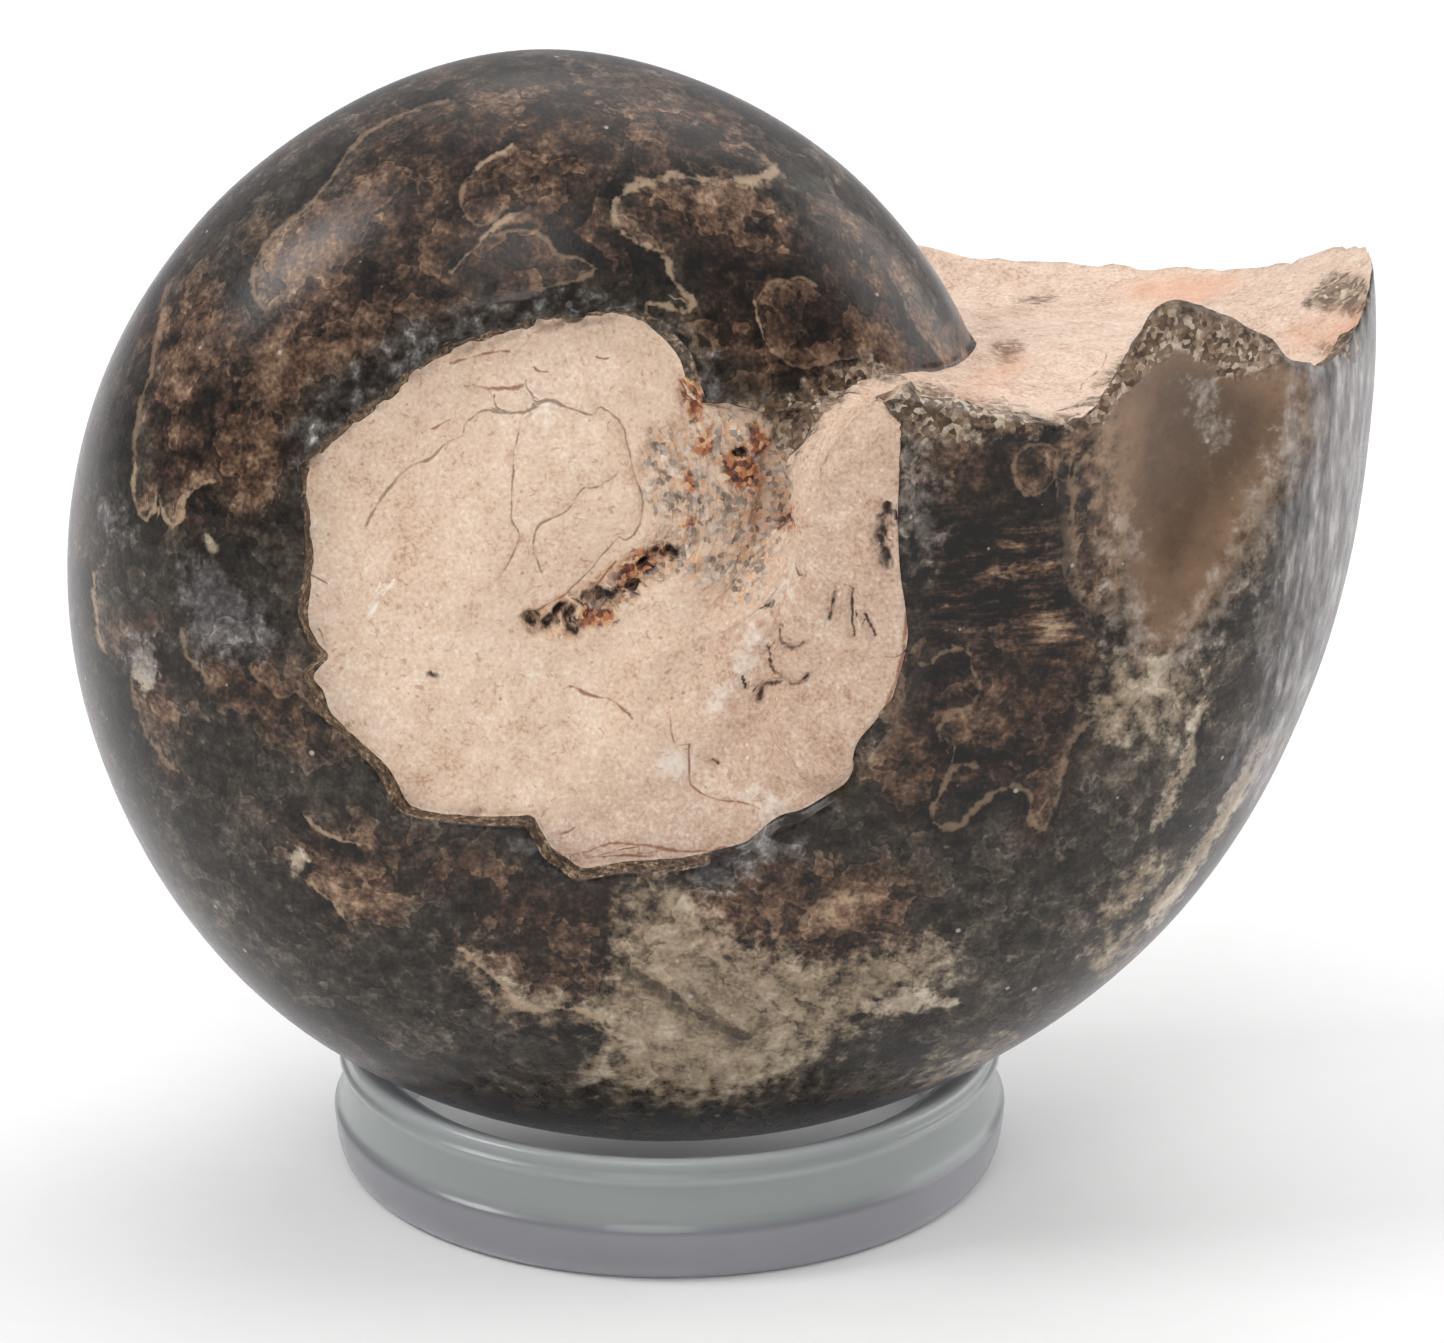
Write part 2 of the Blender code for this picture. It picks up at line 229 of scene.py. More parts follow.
# Markings of the far side are the show side's, mirrored. They wander in waves of a length in
# mm by so many pixels. Some areas also go on between the sides: patch size and height in mm,
# a seed, and a bias in mm
WANDER_SIZE = 6.0
WANDER_PIXELS = 22
MIRROR = np.array([1.0, -1.0, 1.0])
WANDERING_AREAS = {"browns": (8.0, 3.4, 20.0, -0.6), "darks": (7.0, 3.4, 21.0, -1.5),
                   "tans": (6.0, 3.4, 22.0, -2.4)}
MIRRORED_LINES = ("bright_lines", "faint_lines", "cracks", "red_cracks")

# Broken edge of the limestone in the show navel, in the photograph's pixels, clockwise from
# the top of its right side. Its points keep apart by a bearing in degrees, and each is
# found on the stone in so many rounds
NAVEL_KNOT_GAP = 0.5
ROUNDS_TO_SURFACE = 12
LIMESTONE_EDGE = (
    905, 415, 906, 440, 905, 460, 903, 500, 903, 540, 906, 575, 910, 600, 912, 640, 909, 654, 903, 676,
    895, 700, 878, 722, 860, 745, 856, 761, 851, 775, 845, 786, 825, 800, 800, 815, 777, 822, 760, 835,
    745, 848, 720, 855, 680, 864, 650, 866, 620, 867, 598, 871, 575, 873, 560, 862, 547, 853, 537, 836,
    529, 822, 510, 820, 490, 820, 460, 818, 430, 815, 404, 806, 392, 786, 381, 767, 366, 751, 351, 737,
    339, 725, 328, 714, 319, 690, 312, 668, 322, 660, 315, 640, 305, 615, 308, 590, 312, 560, 310, 510,
    310, 465, 330, 445, 360, 420, 385, 403, 412, 380, 440, 360, 470, 348, 500, 340, 530, 331, 560, 325,
    600, 321, 640, 320, 655, 326, 665, 335, 680, 350, 690, 365, 695, 385, 700, 400, 730, 410, 765, 415)

# Markings of the show side, in the photograph's pixels: x and y of one point
# after the other. An area is a closed outline
AREAS = {
    # Browner fields of the shell, where calcite is thin and warm
    "browns": (
        (446, 92, 405, 112, 372, 128, 346, 158, 325, 190, 285, 226, 262, 252, 252, 283, 270, 312,
         262, 360, 290, 400, 330, 370, 390, 330, 450, 300, 520, 290, 600, 280, 640, 262, 605, 225,
         600, 190, 640, 172, 700, 168, 776, 170, 760, 150, 720, 122, 650, 96, 560, 80, 500, 80),
        (622, 200, 640, 186, 700, 184, 760, 184, 830, 215, 880, 260, 930, 320, 975, 345, 940, 374,
         870, 384, 800, 388, 745, 378, 715, 350, 690, 312, 670, 270, 640, 240, 618, 222),
        (135, 330, 152, 300, 190, 270, 232, 300, 250, 350, 280, 400, 296, 450, 270, 500, 220, 520,
         180, 522, 140, 512, 132, 460, 140, 400),
        (906, 400, 960, 410, 1010, 430, 1060, 440, 1066, 520, 1080, 600, 1060, 640, 980, 640, 920, 640,
         908, 560, 912, 520),
        (1060, 440, 1108, 380, 1140, 330, 1180, 315, 1240, 335, 1296, 380, 1300, 430, 1262, 500,
         1230, 560, 1180, 620, 1150, 640, 1124, 600, 1080, 600, 1066, 520),
        (918, 640, 1000, 632, 1080, 640, 1106, 680, 1090, 716, 1064, 756, 1052, 810, 1036, 826, 1014, 790,
         975, 812, 944, 826, 930, 812, 900, 822, 870, 800, 862, 764, 890, 730, 910, 690),
        (500, 880, 560, 868, 620, 880, 700, 880, 790, 862, 850, 858, 890, 870, 920, 900, 900, 940,
         860, 970, 800, 980, 700, 960, 620, 950, 560, 960, 500, 940, 470, 910),
        (460, 949, 520, 942, 600, 940, 640, 930, 700, 960, 640, 1010, 580, 1010, 520, 990),
        (286, 830, 330, 812, 380, 834, 410, 880, 400, 912, 350, 930, 310, 900, 290, 862),
        (128, 640, 160, 640, 175, 690, 180, 760, 170, 768, 148, 738, 130, 700),
        (180, 620, 250, 640, 300, 690, 330, 720, 340, 760, 280, 740, 220, 700, 190, 670),
        (380, 826, 440, 850, 500, 850, 560, 880, 520, 900, 450, 890, 400, 860)),
    # Darker stretches of the shell
    "darks": (
        (930, 640, 1000, 636, 1070, 650, 1096, 690, 1080, 740, 1060, 800, 1030, 830, 1000, 800, 950, 820,
         900, 820, 880, 790, 900, 740),
        (913, 520, 960, 508, 1020, 516, 1062, 520, 1064, 580, 1076, 606, 1060, 622, 1000, 632, 930, 628,
         912, 600),
        (337, 270, 360, 262, 392, 264, 398, 280, 380, 296, 350, 292),
        (560, 214, 600, 200, 608, 226, 620, 240, 650, 252, 660, 276, 640, 290, 596, 264, 562, 246),
        (696, 250, 730, 244, 752, 262, 748, 290, 716, 310, 694, 300, 684, 270),
        (524, 1014, 558, 1012, 584, 1020, 598, 1040, 594, 1062, 560, 1062, 530, 1044),
        (635, 970, 645, 971, 656, 979, 673, 991, 689, 1008, 668, 1004, 647, 987),
        (698, 1017, 715, 1021, 748, 1034, 742, 1042, 731, 1046, 723, 1034, 706, 1026),
        (772, 296, 800, 290, 836, 304, 846, 330, 820, 350, 782, 344, 768, 320),
        (190, 520, 230, 520, 290, 500, 296, 560, 280, 600, 250, 590, 220, 566, 190, 556),
        (476, 178, 494, 168, 500, 186, 490, 204, 474, 206, 468, 192),
        (1066, 505, 1084, 500, 1100, 520, 1092, 540, 1072, 540)),
    # Tan limestone that comes through the shell, and cream flecks of it
    "tans": (
        (457, 948, 480, 968, 506, 990, 540, 1002, 572, 1010, 596, 1004, 612, 975, 622, 930, 640, 904,
         668, 893, 694, 902, 706, 924, 748, 949, 778, 954, 799, 958, 822, 967, 850, 962, 879, 955,
         917, 954, 938, 945, 944, 952, 940, 966, 910, 986, 883, 1004, 862, 1017, 840, 1034, 826, 1045,
         806, 1061, 766, 1077, 721, 1093, 681, 1095, 621, 1086, 596, 1072, 601, 1049, 612, 1040,
         596, 1022, 570, 1016, 521, 1012, 484, 984),
        (1156, 654, 1201, 662, 1199, 688, 1188, 707, 1180, 728, 1172, 733, 1169, 709, 1158, 716,
         1150, 732, 1140, 728, 1134, 716, 1122, 732, 1110, 720, 1094, 715, 1092, 699, 1110, 680, 1116, 664),
        (1105, 917, 1124, 895, 1140, 873, 1152, 866, 1156, 880, 1148, 895, 1134, 908, 1116, 918),
        (1098, 968, 1116, 940, 1137, 921, 1140, 932, 1122, 950, 1108, 964),
        (926, 1078, 960, 1066, 1000, 1046, 1012, 1050, 980, 1070, 940, 1086)),
    "creams": (
        (858, 1009, 870, 1001, 879, 998, 893, 994, 900, 988, 908, 987, 914, 992, 924, 990, 931, 994,
         942, 995, 957, 1000, 950, 1005, 942, 1008, 934, 1004, 921, 1007, 908, 1008, 896, 1012, 880, 1012,
         868, 1016),
        (1150, 660, 1168, 656, 1172, 672, 1166, 690, 1152, 700, 1146, 684, 1150, 670),
        (204, 541, 209, 538, 216, 541, 219, 548, 213, 552, 206, 549),
        (136, 650, 150, 646, 156, 664, 150, 690, 140, 690, 134, 670),
        (1262, 738, 1268, 744, 1240, 800, 1210, 850, 1176, 900, 1150, 930, 1144, 926, 1172, 884,
         1204, 832, 1234, 784),
        (1198, 702, 1204, 707, 1191, 758, 1176, 800, 1158, 826, 1152, 822, 1170, 788, 1184, 750),
        (290, 852, 304, 850, 310, 866, 298, 872)),
    # Warmer spots, and paler, dusty ones
    "oranges": (
        (634, 118, 652, 110, 676, 116, 676, 132, 660, 141, 640, 138),
        (660, 200, 682, 198, 694, 212, 684, 224, 664, 222),
        (946, 782, 968, 776, 976, 790, 962, 806, 944, 804),
        (1102, 480, 1114, 470, 1120, 490, 1108, 500),
        (506, 150, 534, 140, 560, 146, 548, 162, 516, 166),
        (262, 252, 282, 240, 300, 250, 288, 272, 264, 280),
        (1126, 380, 1180, 350, 1240, 360, 1284, 400, 1264, 470, 1226, 540, 1190, 580, 1160, 520, 1130, 450)),
    "dusty": (
        (277, 300, 300, 276, 330, 268, 352, 280, 346, 300, 322, 314, 290, 316),
        (660, 286, 680, 288, 692, 302, 686, 311, 660, 306, 650, 300),
        (286, 850, 305, 845, 324, 862, 320, 880, 297, 878),
        (335, 884, 366, 874, 388, 880, 404, 896, 382, 912, 350, 908),
        (204, 478, 232, 460, 262, 466, 280, 490, 266, 514, 230, 514, 208, 496),
        (130, 680, 150, 664, 172, 690, 178, 736, 160, 750, 142, 728),
        (862, 740, 900, 736, 940, 760, 936, 800, 900, 812, 872, 790),
        (560, 214, 590, 206, 604, 222, 590, 240, 566, 236),
        (700, 184, 760, 190, 800, 214, 770, 226, 720, 210, 690, 200),
        (1062, 436, 1096, 420, 1130, 416, 1142, 467, 1132, 500, 1093, 500, 1071, 473),
        (690, 905, 740, 896, 800, 890, 860, 880, 880, 900, 850, 930, 780, 948, 720, 936),
        (940, 690, 980, 680, 1010, 700, 1000, 730, 960, 740, 936, 720)),
    # Bluish flakes, and pale film on the polish
    "flakes": (
        (182, 567, 204, 562, 225, 573, 238, 588, 250, 598, 262, 612, 274, 631, 272, 644, 256, 650,
         234, 659, 218, 656, 204, 659, 194, 646, 189, 631, 188, 600),
        (688, 852, 718, 846, 744, 838, 758, 822, 770, 820, 778, 828, 772, 838, 798, 844, 780, 858,
         744, 866, 716, 882, 697, 884, 692, 868),
        (516, 834, 530, 838, 547, 853, 560, 863, 573, 873, 560, 874, 540, 864, 524, 850),
        (700, 382, 708, 366, 718, 374, 724, 392, 716, 402, 704, 398),
        (104, 512, 114, 510, 122, 520, 124, 532, 114, 532, 106, 524),
        (126, 648, 140, 640, 156, 646, 160, 664, 148, 676, 132, 668)),
    "film": (
        (1196, 392, 1206, 386, 1214, 404, 1226, 432, 1214, 440, 1204, 420),
        (1296, 405, 1306, 420, 1290, 470, 1276, 505, 1246, 570, 1226, 615, 1206, 645, 1180, 676,
         1166, 664, 1192, 630, 1210, 605, 1230, 560, 1262, 492, 1280, 450),
        (1122, 520, 1132, 540, 1134, 600, 1150, 640, 1130, 650, 1112, 616, 1118, 570),
        (916, 424, 934, 420, 930, 470, 934, 520, 926, 560, 914, 540, 910, 480)),
    # Dark stretch beside the fold where the grain runs level
    "streaky": (
        (906, 500, 960, 496, 1020, 500, 1066, 506, 1072, 560, 1080, 612, 1060, 640, 1000, 646, 930, 644,
         912, 620, 906, 560),),
    # Milky band down the right side of the shell: a painted reflection of the bright surroundings along its
    # grazing edge
    "milky_painted_reflection": (
        (1306, 350, 1330, 346, 1367, 359, 1374, 405, 1370, 467, 1358, 529, 1345, 590, 1323, 652,
         1309, 702, 1270, 780, 1250, 790, 1270, 720, 1285, 650, 1290, 570, 1298, 500, 1308, 440, 1312, 400),),
    # Ground shell round the top of the navel, chipped and shining
    "shiny": (
        (277, 448, 300, 418, 331, 384, 352, 366, 388, 338, 416, 322, 443, 314, 484, 303, 530, 296,
         560, 292, 600, 296, 640, 306, 660, 318, 655, 328, 640, 322, 600, 322, 560, 326, 530, 332,
         500, 341, 470, 349, 440, 361, 412, 381, 385, 404, 360, 421, 330, 446, 310, 466, 298, 470),),
    # Smooth translucent brown where the hollow is ground
    "hollow": (
        (1104, 376, 1136, 336, 1180, 318, 1242, 338, 1298, 378, 1308, 428, 1278, 492, 1246, 552,
         1206, 612, 1168, 650, 1138, 636, 1120, 584, 1112, 520, 1102, 450),),
    # Crystals, rust and crust beside the fold and along the near lip
    "crystals": (
        (686, 400, 702, 414, 722, 411, 748, 414, 771, 419, 791, 402, 812, 398, 830, 404, 852, 408,
         826, 434, 810, 462, 806, 490, 806, 512, 788, 526, 772, 552, 752, 590, 738, 602, 712, 590,
         678, 573, 653, 579, 630, 600, 608, 622, 582, 628, 584, 596, 616, 588, 632, 556, 660, 532,
         680, 520, 660, 512, 645, 508, 641, 468, 653, 431, 676, 426, 690, 430),),
    "rust": (
        (580, 612, 600, 608, 614, 610, 614, 620, 596, 626, 582, 626),
        (630, 560, 646, 550, 660, 549, 661, 560, 646, 572, 632, 584, 618, 598, 620, 580),
        (747, 422, 762, 425, 771, 440, 768, 452, 759, 458, 748, 448, 752, 436),
        (722, 451, 747, 453, 761, 466, 760, 484, 746, 492, 734, 484, 722, 470),
        (680, 378, 696, 384, 702, 404, 700, 418, 692, 424, 685, 400),
        (766, 510, 784, 504, 803, 505, 808, 515, 792, 526, 771, 524),
        (678, 517, 698, 517, 694, 529, 680, 527),
        (676, 470, 692, 468, 698, 486, 685, 486),
        (700, 440, 712, 432, 718, 446, 706, 452)),
    "crust": (
        (758, 412, 772, 400, 800, 392, 824, 376, 846, 364, 868, 358, 884, 368, 896, 384, 884, 396,
         862, 400, 843, 424, 826, 452, 812, 470, 800, 494, 784, 486, 780, 456, 768, 430),
        (896, 388, 920, 386, 950, 392, 990, 402, 1020, 414, 1040, 424, 1036, 436, 1000, 432, 960, 438,
         924, 436, 908, 424, 900, 404),
        (1040, 424, 1070, 416, 1096, 402, 1105, 374, 1130, 353, 1148, 325, 1173, 311, 1201, 318,
         1235, 328, 1266, 340, 1276, 359, 1256, 373, 1235, 380, 1216, 370, 1198, 360, 1173, 352,
         1154, 364, 1133, 384, 1117, 398, 1102, 416, 1076, 432)),
    # Groove with a row of small pits in the navel's limestone
    "trough": (
        (522, 612, 545, 606, 575, 590, 600, 576, 622, 560, 648, 545, 690, 528, 700, 540, 680, 566,
         650, 588, 625, 606, 600, 622, 570, 638, 540, 636, 526, 628),),
    # Redder limestone to the right of the fold, painted duller and darker there as the fold's shade, and its
    # pale scuffs
    "flushed_and_shaded": (
        (700, 640, 740, 606, 800, 530, 812, 470, 850, 410, 900, 396, 925, 520, 920, 640, 890, 760,
         830, 850, 740, 880, 640, 880, 545, 856, 600, 812, 668, 770, 690, 700),),
    "scuffs": (
        (654, 760, 668, 754, 686, 762, 680, 776, 662, 774),
        (750, 800, 766, 790, 782, 794, 776, 808, 756, 810),
        (712, 700, 740, 650, 770, 600, 790, 560, 796, 566, 776, 610, 748, 660, 722, 706)),
    # Orange streaks and brown patches of the limestone in the mouth
    "streaks": (
        (1120, 292, 1160, 282, 1216, 278, 1236, 284, 1200, 294, 1150, 300),
        (960, 386, 1000, 360, 1020, 366, 1000, 384, 964, 396),
        (1330, 318, 1364, 320, 1362, 340, 1336, 336),
        (1290, 330, 1330, 318, 1330, 334, 1300, 346)),
    "patches": (
        (1305, 300, 1316, 286, 1330, 276, 1350, 272, 1364, 282, 1366, 310, 1362, 326, 1350, 312,
         1336, 308, 1318, 306),
        (1312, 342, 1330, 340, 1350, 348, 1364, 358, 1350, 362, 1336, 354, 1318, 354),
        (994, 342, 1008, 338, 1020, 346, 1018, 360, 1002, 363, 994, 354),
        (1018, 302, 1040, 294, 1056, 296, 1036, 308)),
}

# Forms of the limestone's fold: its swollen end, the pocket above it, the valley beside
# it and its fine ribs
FORMS = {
    "bulge": (
        (809, 473, 819, 458, 830, 443, 843, 424, 855, 407, 870, 396, 888, 393, 902, 402, 906, 440,
         904, 500, 906, 575, 911, 640, 895, 700, 860, 742, 820, 770, 790, 740, 782, 680, 792, 620,
         806, 560, 808, 510),),
    "pocket": (
        (768, 438, 782, 418, 800, 408, 816, 410, 826, 424, 812, 446, 804, 470, 802, 500, 786, 522,
         764, 536, 752, 516, 760, 480),),
    "valley": (
        (640, 700, 700, 628, 760, 564, 800, 512, 812, 560, 802, 640, 782, 710, 742, 770, 704, 796,
         670, 770),),
    "ribs": (
        (800, 500, 812, 540, 800, 610, 770, 670, 716, 706, 660, 690, 650, 650, 690, 610, 736, 566,
         772, 528),),
}

# A line starts with half its width in mm
LINES = {
    # Pale lines where the chamber walls meet the shell, then fainter ones
    "bright_lines": (
        (0.3, 775, 170, 760, 177, 742, 181, 726, 182, 705, 180, 680, 176, 662, 178, 646, 182, 632, 187,
         622, 194),
        (0.21, 622, 194, 615, 202, 613, 212, 616, 223, 624, 233, 635, 241, 650, 247, 661, 252, 667, 260,
         669, 271, 673, 280, 680, 287, 688, 295, 692, 303, 689, 310, 678, 309, 665, 306, 655, 305,
         648, 306, 645, 317),
        (0.17, 521, 212, 503, 219, 490, 231, 482, 240, 474, 249, 463, 260, 452, 272),
        (0.16, 512, 145, 503, 151, 493, 157, 484, 163, 475, 170),
        (0.13, 754, 301, 757, 313, 761, 329, 765, 341, 772, 350),
        (0.15, 520, 1009, 538, 1010, 559, 1008, 577, 1010, 594, 1016, 603, 1024, 612, 1034, 622, 1040),
        (0.2, 460, 949, 475, 962, 492, 975, 503, 986, 511, 998, 520, 1009),
        (0.17, 135, 462, 134, 480, 136, 503, 143, 518, 152, 515, 156, 504, 158, 495, 161, 505, 164, 515,
         172, 526, 182, 518, 184, 505, 186, 494, 194, 490, 204, 484, 214, 481),
        (0.13, 94, 573, 94, 590, 95, 610, 97, 631, 101, 643, 106, 652),
        (0.14, 303, 812, 308, 818, 320, 830, 331, 836, 342, 840, 352, 842, 360, 845),
        (0.14, 312, 884, 322, 894, 335, 904, 341, 912, 345, 921),
        (0.14, 639, 970, 646, 972, 652, 978, 660, 979, 668, 986, 676, 990, 682, 998, 690, 1006),
        (0.14, 704, 1013, 716, 1017, 724, 1024, 738, 1026, 750, 1033)),
    "faint_lines": (
        (0.16, 168, 285, 162, 310, 159, 327, 154, 352, 152, 372, 147, 387, 141, 400, 137, 423, 135, 440,
         135, 462),
        (0.15, 475, 170, 466, 181, 461, 191, 461, 203, 465, 213, 469, 219, 481, 225, 490, 222, 498, 214,
         507, 207),
        (0.15, 554, 253, 549, 243, 542, 236, 533, 231, 522, 230, 512, 231, 500, 233, 490, 237),
        (0.15, 538, 290, 549, 287, 561, 283, 573, 281, 585, 277, 594, 269, 588, 264, 579, 259, 570, 257,
         561, 257),
        (0.16, 446, 100, 430, 104, 413, 110, 395, 117, 378, 126, 362, 138, 348, 152, 338, 168, 326, 186,
         313, 200, 299, 213, 285, 224, 272, 236, 260, 252, 254, 268, 252, 283, 256, 298, 266, 309),
        (0.13, 815, 286, 803, 278, 794, 278, 784, 280, 775, 281, 766, 286, 757, 301),
        (0.13, 772, 350, 787, 362, 797, 366, 806, 367, 818, 365, 830, 362, 843, 359, 855, 358),
        (0.13, 890, 274, 899, 290, 908, 309, 918, 328, 927, 340, 936, 352, 947, 366),
        (0.13, 776, 171, 771, 164, 762, 156, 752, 148, 741, 142),
        (0.14, 181, 628, 183, 642, 188, 656, 196, 666, 204, 674, 208, 683),
        (0.14, 251, 664, 250, 672, 256, 678, 263, 680, 268, 685, 271, 692, 277, 697, 284, 697, 290, 695,
         297, 689, 302, 692, 306, 699, 311, 705, 318, 709, 325, 715),
        (0.15, 130, 674, 133, 692, 139, 713, 146, 735, 156, 748, 163, 757, 169, 766, 177, 770),
        (0.16, 580, 1021, 596, 1027, 608, 1034, 616, 1043, 622, 1052, 632, 1058, 642, 1056, 648, 1049),
        (0.16, 601, 1049, 599, 1059, 594, 1068, 586, 1075),
        (0.18, 711, 942, 706, 946, 712, 953, 722, 955, 729, 951, 730, 944, 720, 938, 708, 936, 697, 938,
         689, 943),
        (0.16, 788, 972, 796, 980, 808, 984, 820, 982, 828, 975, 838, 972),
        (0.14, 866, 894, 852, 892, 838, 894, 822, 900, 810, 911, 800, 925),
        (0.16, 920, 662, 931, 664, 936, 657, 942, 652, 954, 649, 968, 651, 972, 660, 972, 668, 978, 680,
         980, 690, 975, 702, 964, 708, 950, 712),
        (0.2, 950, 712, 943, 722, 938, 734, 944, 740, 952, 743),
        (0.2, 976, 766, 960, 765, 950, 773, 944, 784, 938, 799, 931, 812, 935, 822, 944, 828, 958, 826,
         966, 818, 974, 810, 984, 801, 995, 793, 1004, 788, 1012, 786, 1022, 787, 1028, 793, 1030, 806,
         1030, 820, 1036, 827, 1042, 829, 1048, 820, 1052, 812, 1057, 801, 1060, 783, 1062, 768,
         1067, 755, 1071, 744, 1078, 734, 1085, 725, 1094, 718),
        (0.16, 1160, 816, 1168, 795, 1173, 778, 1180, 766, 1185, 757, 1191, 745, 1197, 731, 1200, 718),
        (0.13, 1300, 726, 1280, 738, 1263, 755, 1248, 778, 1234, 801, 1220, 826, 1207, 846, 1192, 866,
         1175, 887, 1160, 903, 1148, 916),
        (0.3, 1076, 480, 1071, 520, 1072, 560, 1080, 594, 1096, 612, 1112, 604, 1121, 572, 1124, 530,
         1130, 502)),
    # Dark clefts inside the tan stone
    "clefts": (
        (0.5, 628, 972, 640, 974, 652, 986, 664, 996, 680, 1008),
        (0.6, 700, 1014, 712, 1020, 724, 1026, 736, 1038, 730, 1044),
        (0.3, 690, 990, 700, 1002, 708, 1012),
        (0.35, 1060, 470, 1066, 540, 1072, 592, 1090, 612, 1112, 600)),
    # Cracks, dark marks and scratches of the navel's limestone
    "cracks": (
        (0.1, 366, 525, 374, 510, 384, 494, 395, 481, 409, 467, 430, 458, 446, 443, 462, 435, 465, 425,
         481, 411, 498, 412, 516, 413, 532, 409, 548, 399, 564, 406, 578, 411, 593, 415, 600, 407,
         615, 417, 623, 427, 627, 442, 631, 457, 634, 473, 639, 487, 643, 500, 643, 512, 640, 523,
         634, 534),
        (0.07, 520, 430, 517, 441, 514, 451, 513, 470, 512, 489, 511, 518, 516, 528, 520, 537, 516, 548,
         508, 564, 502, 573, 497, 580),
        (0.08, 617, 475, 606, 482, 596, 488, 583, 489, 575, 500, 568, 510, 554, 518, 540, 524, 534, 537,
         533, 548, 537, 560, 541, 571),
        (0.07, 619, 537, 611, 546, 604, 553, 592, 567, 580, 580, 572, 588),
        (0.07, 494, 395, 495, 403, 498, 409, 508, 413),
        (0.07, 532, 395, 534, 402, 530, 408),
        (0.07, 526, 379, 527, 388, 532, 395),
        (0.06, 634, 534, 626, 540, 619, 537),
        (0.06, 857, 578, 859, 596, 858, 614, 859, 631),
        (0.05, 870, 608, 872, 616, 876, 624, 877, 629),
        (0.05, 835, 588, 834, 598, 833, 609),
        (0.06, 1079, 393, 1088, 382, 1099, 373, 1104, 364, 1106, 356),
        (0.05, 312, 575, 320, 580, 328, 584),
        (0.05, 318, 628, 322, 634, 324, 640),
        (0.05, 885, 650, 895, 651, 905, 645)),
    "red_cracks": (
        (0.13, 907, 590, 904, 640, 894, 680, 881, 714, 869, 744, 857, 762),
        (0.1, 564, 688, 571, 686, 578, 688, 584, 693, 592, 695, 602, 698, 612, 700, 618, 705, 623, 710,
         629, 713, 633, 719),
        (0.1, 629, 724, 630, 729),
        (0.09, 572, 588, 566, 595, 559, 599, 548, 605, 538, 611, 529, 615),
        (0.14, 465, 386, 480, 387, 496, 389, 510, 388, 524, 386),
        (0.08, 430, 430, 440, 425, 451, 419),
        (0.1, 451, 363, 470, 358, 490, 353, 510, 351),
        (0.11, 680, 379, 688, 390, 694, 402, 697, 420),
        (0.07, 674, 746, 670, 735, 668, 716),
        (0.07, 688, 747, 688, 766, 689, 783, 696, 791, 704, 796, 722, 801, 741, 803, 752, 806, 760, 810),
        (0.07, 710, 763, 714, 767, 718, 769),
        (0.08, 561, 834, 568, 832, 575, 828),
        (0.1, 547, 848, 560, 853, 575, 855, 592, 850, 610, 844, 635, 845, 660, 848, 680, 851, 700, 851,
         712, 850, 724, 847),
        (0.08, 560, 862, 590, 858, 620, 856, 650, 857),
        (0.08, 600, 600, 596, 590, 604, 578, 616, 562),
        (0.08, 534, 368, 540, 372, 548, 371),
        (0.08, 596, 357, 602, 359, 608, 358)),
    "black_marks": (
        (0.24, 780, 626, 779, 634, 782, 640),
        (0.15, 782, 640, 790, 643, 800, 643, 808, 636),
        (0.13, 745, 615, 750, 609, 758, 608, 766, 610, 769, 604),
        (0.11, 764, 649, 768, 656),
        (0.15, 768, 662, 771, 670, 781, 673, 796, 680, 806, 676, 811, 670),
        (0.24, 757, 703, 758, 695, 760, 689),
        (0.15, 760, 689, 769, 686, 778, 681, 786, 678),
        (0.12, 796, 564, 800, 571, 808, 570),
        (0.14, 838, 581, 835, 593, 834, 602, 832, 610),
        (0.11, 859, 582, 857, 600, 859, 630),
        (0.1, 869, 608, 874, 618, 878, 630),
        (0.11, 739, 679, 742, 689),
        (0.13, 710, 765, 717, 767),
        (0.2, 430, 674, 436, 676),
        (0.14, 734, 452, 745, 450)),
    "scratches": (
        (0.14, 396, 577, 388, 588, 380, 600, 371, 612),
        (0.1, 384, 578, 378, 588, 374, 594)),
    # Row of small pits, and last the slot
    "pits": (
        (0.62, 530, 618, 533, 623),
        (0.45, 546, 625, 550, 621),
        (0.4, 567, 617, 572, 612),
        (0.34, 571, 629, 574, 631),
        (0.5, 588, 600, 596, 595),
        (0.45, 598, 604, 606, 598),
        (0.4, 611, 602, 616, 596),
        (0.36, 630, 589, 634, 586),
        (0.32, 556, 612, 560, 608),
        (0.3, 640, 566, 644, 562),
        (0.3, 652, 556, 656, 553),
        (0.34, 668, 552, 673, 556),
        (0.28, 745, 451, 738, 452),
        (0.34, 887, 500, 889, 508, 884, 518, 882, 528, 885, 542, 887, 556)),
}

# Fainter lines round the ground hollow, which the far side doesn't have
HOLLOW_LINES = (
    (0.14, 1015, 478, 1020, 490, 1030, 496, 1045, 489, 1055, 476, 1058, 460, 1053, 447, 1040, 443,
     1026, 447, 1018, 455, 1014, 468, 1015, 478),
    (0.22, 1112, 400, 1104, 430, 1090, 450, 1076, 470, 1068, 495, 1066, 520, 1067, 545, 1066, 568,
     1070, 588, 1080, 600, 1092, 608, 1104, 608, 1113, 600, 1116, 584, 1118, 560, 1120, 535, 1124, 510,
     1126, 490),
    (0.2, 1170, 650, 1186, 632, 1200, 612, 1212, 592, 1232, 562, 1250, 530, 1262, 505, 1274, 479,
     1296, 452, 1306, 428, 1305, 405, 1301, 380),
    (0.13, 885, 650, 893, 652, 900, 648, 906, 645))

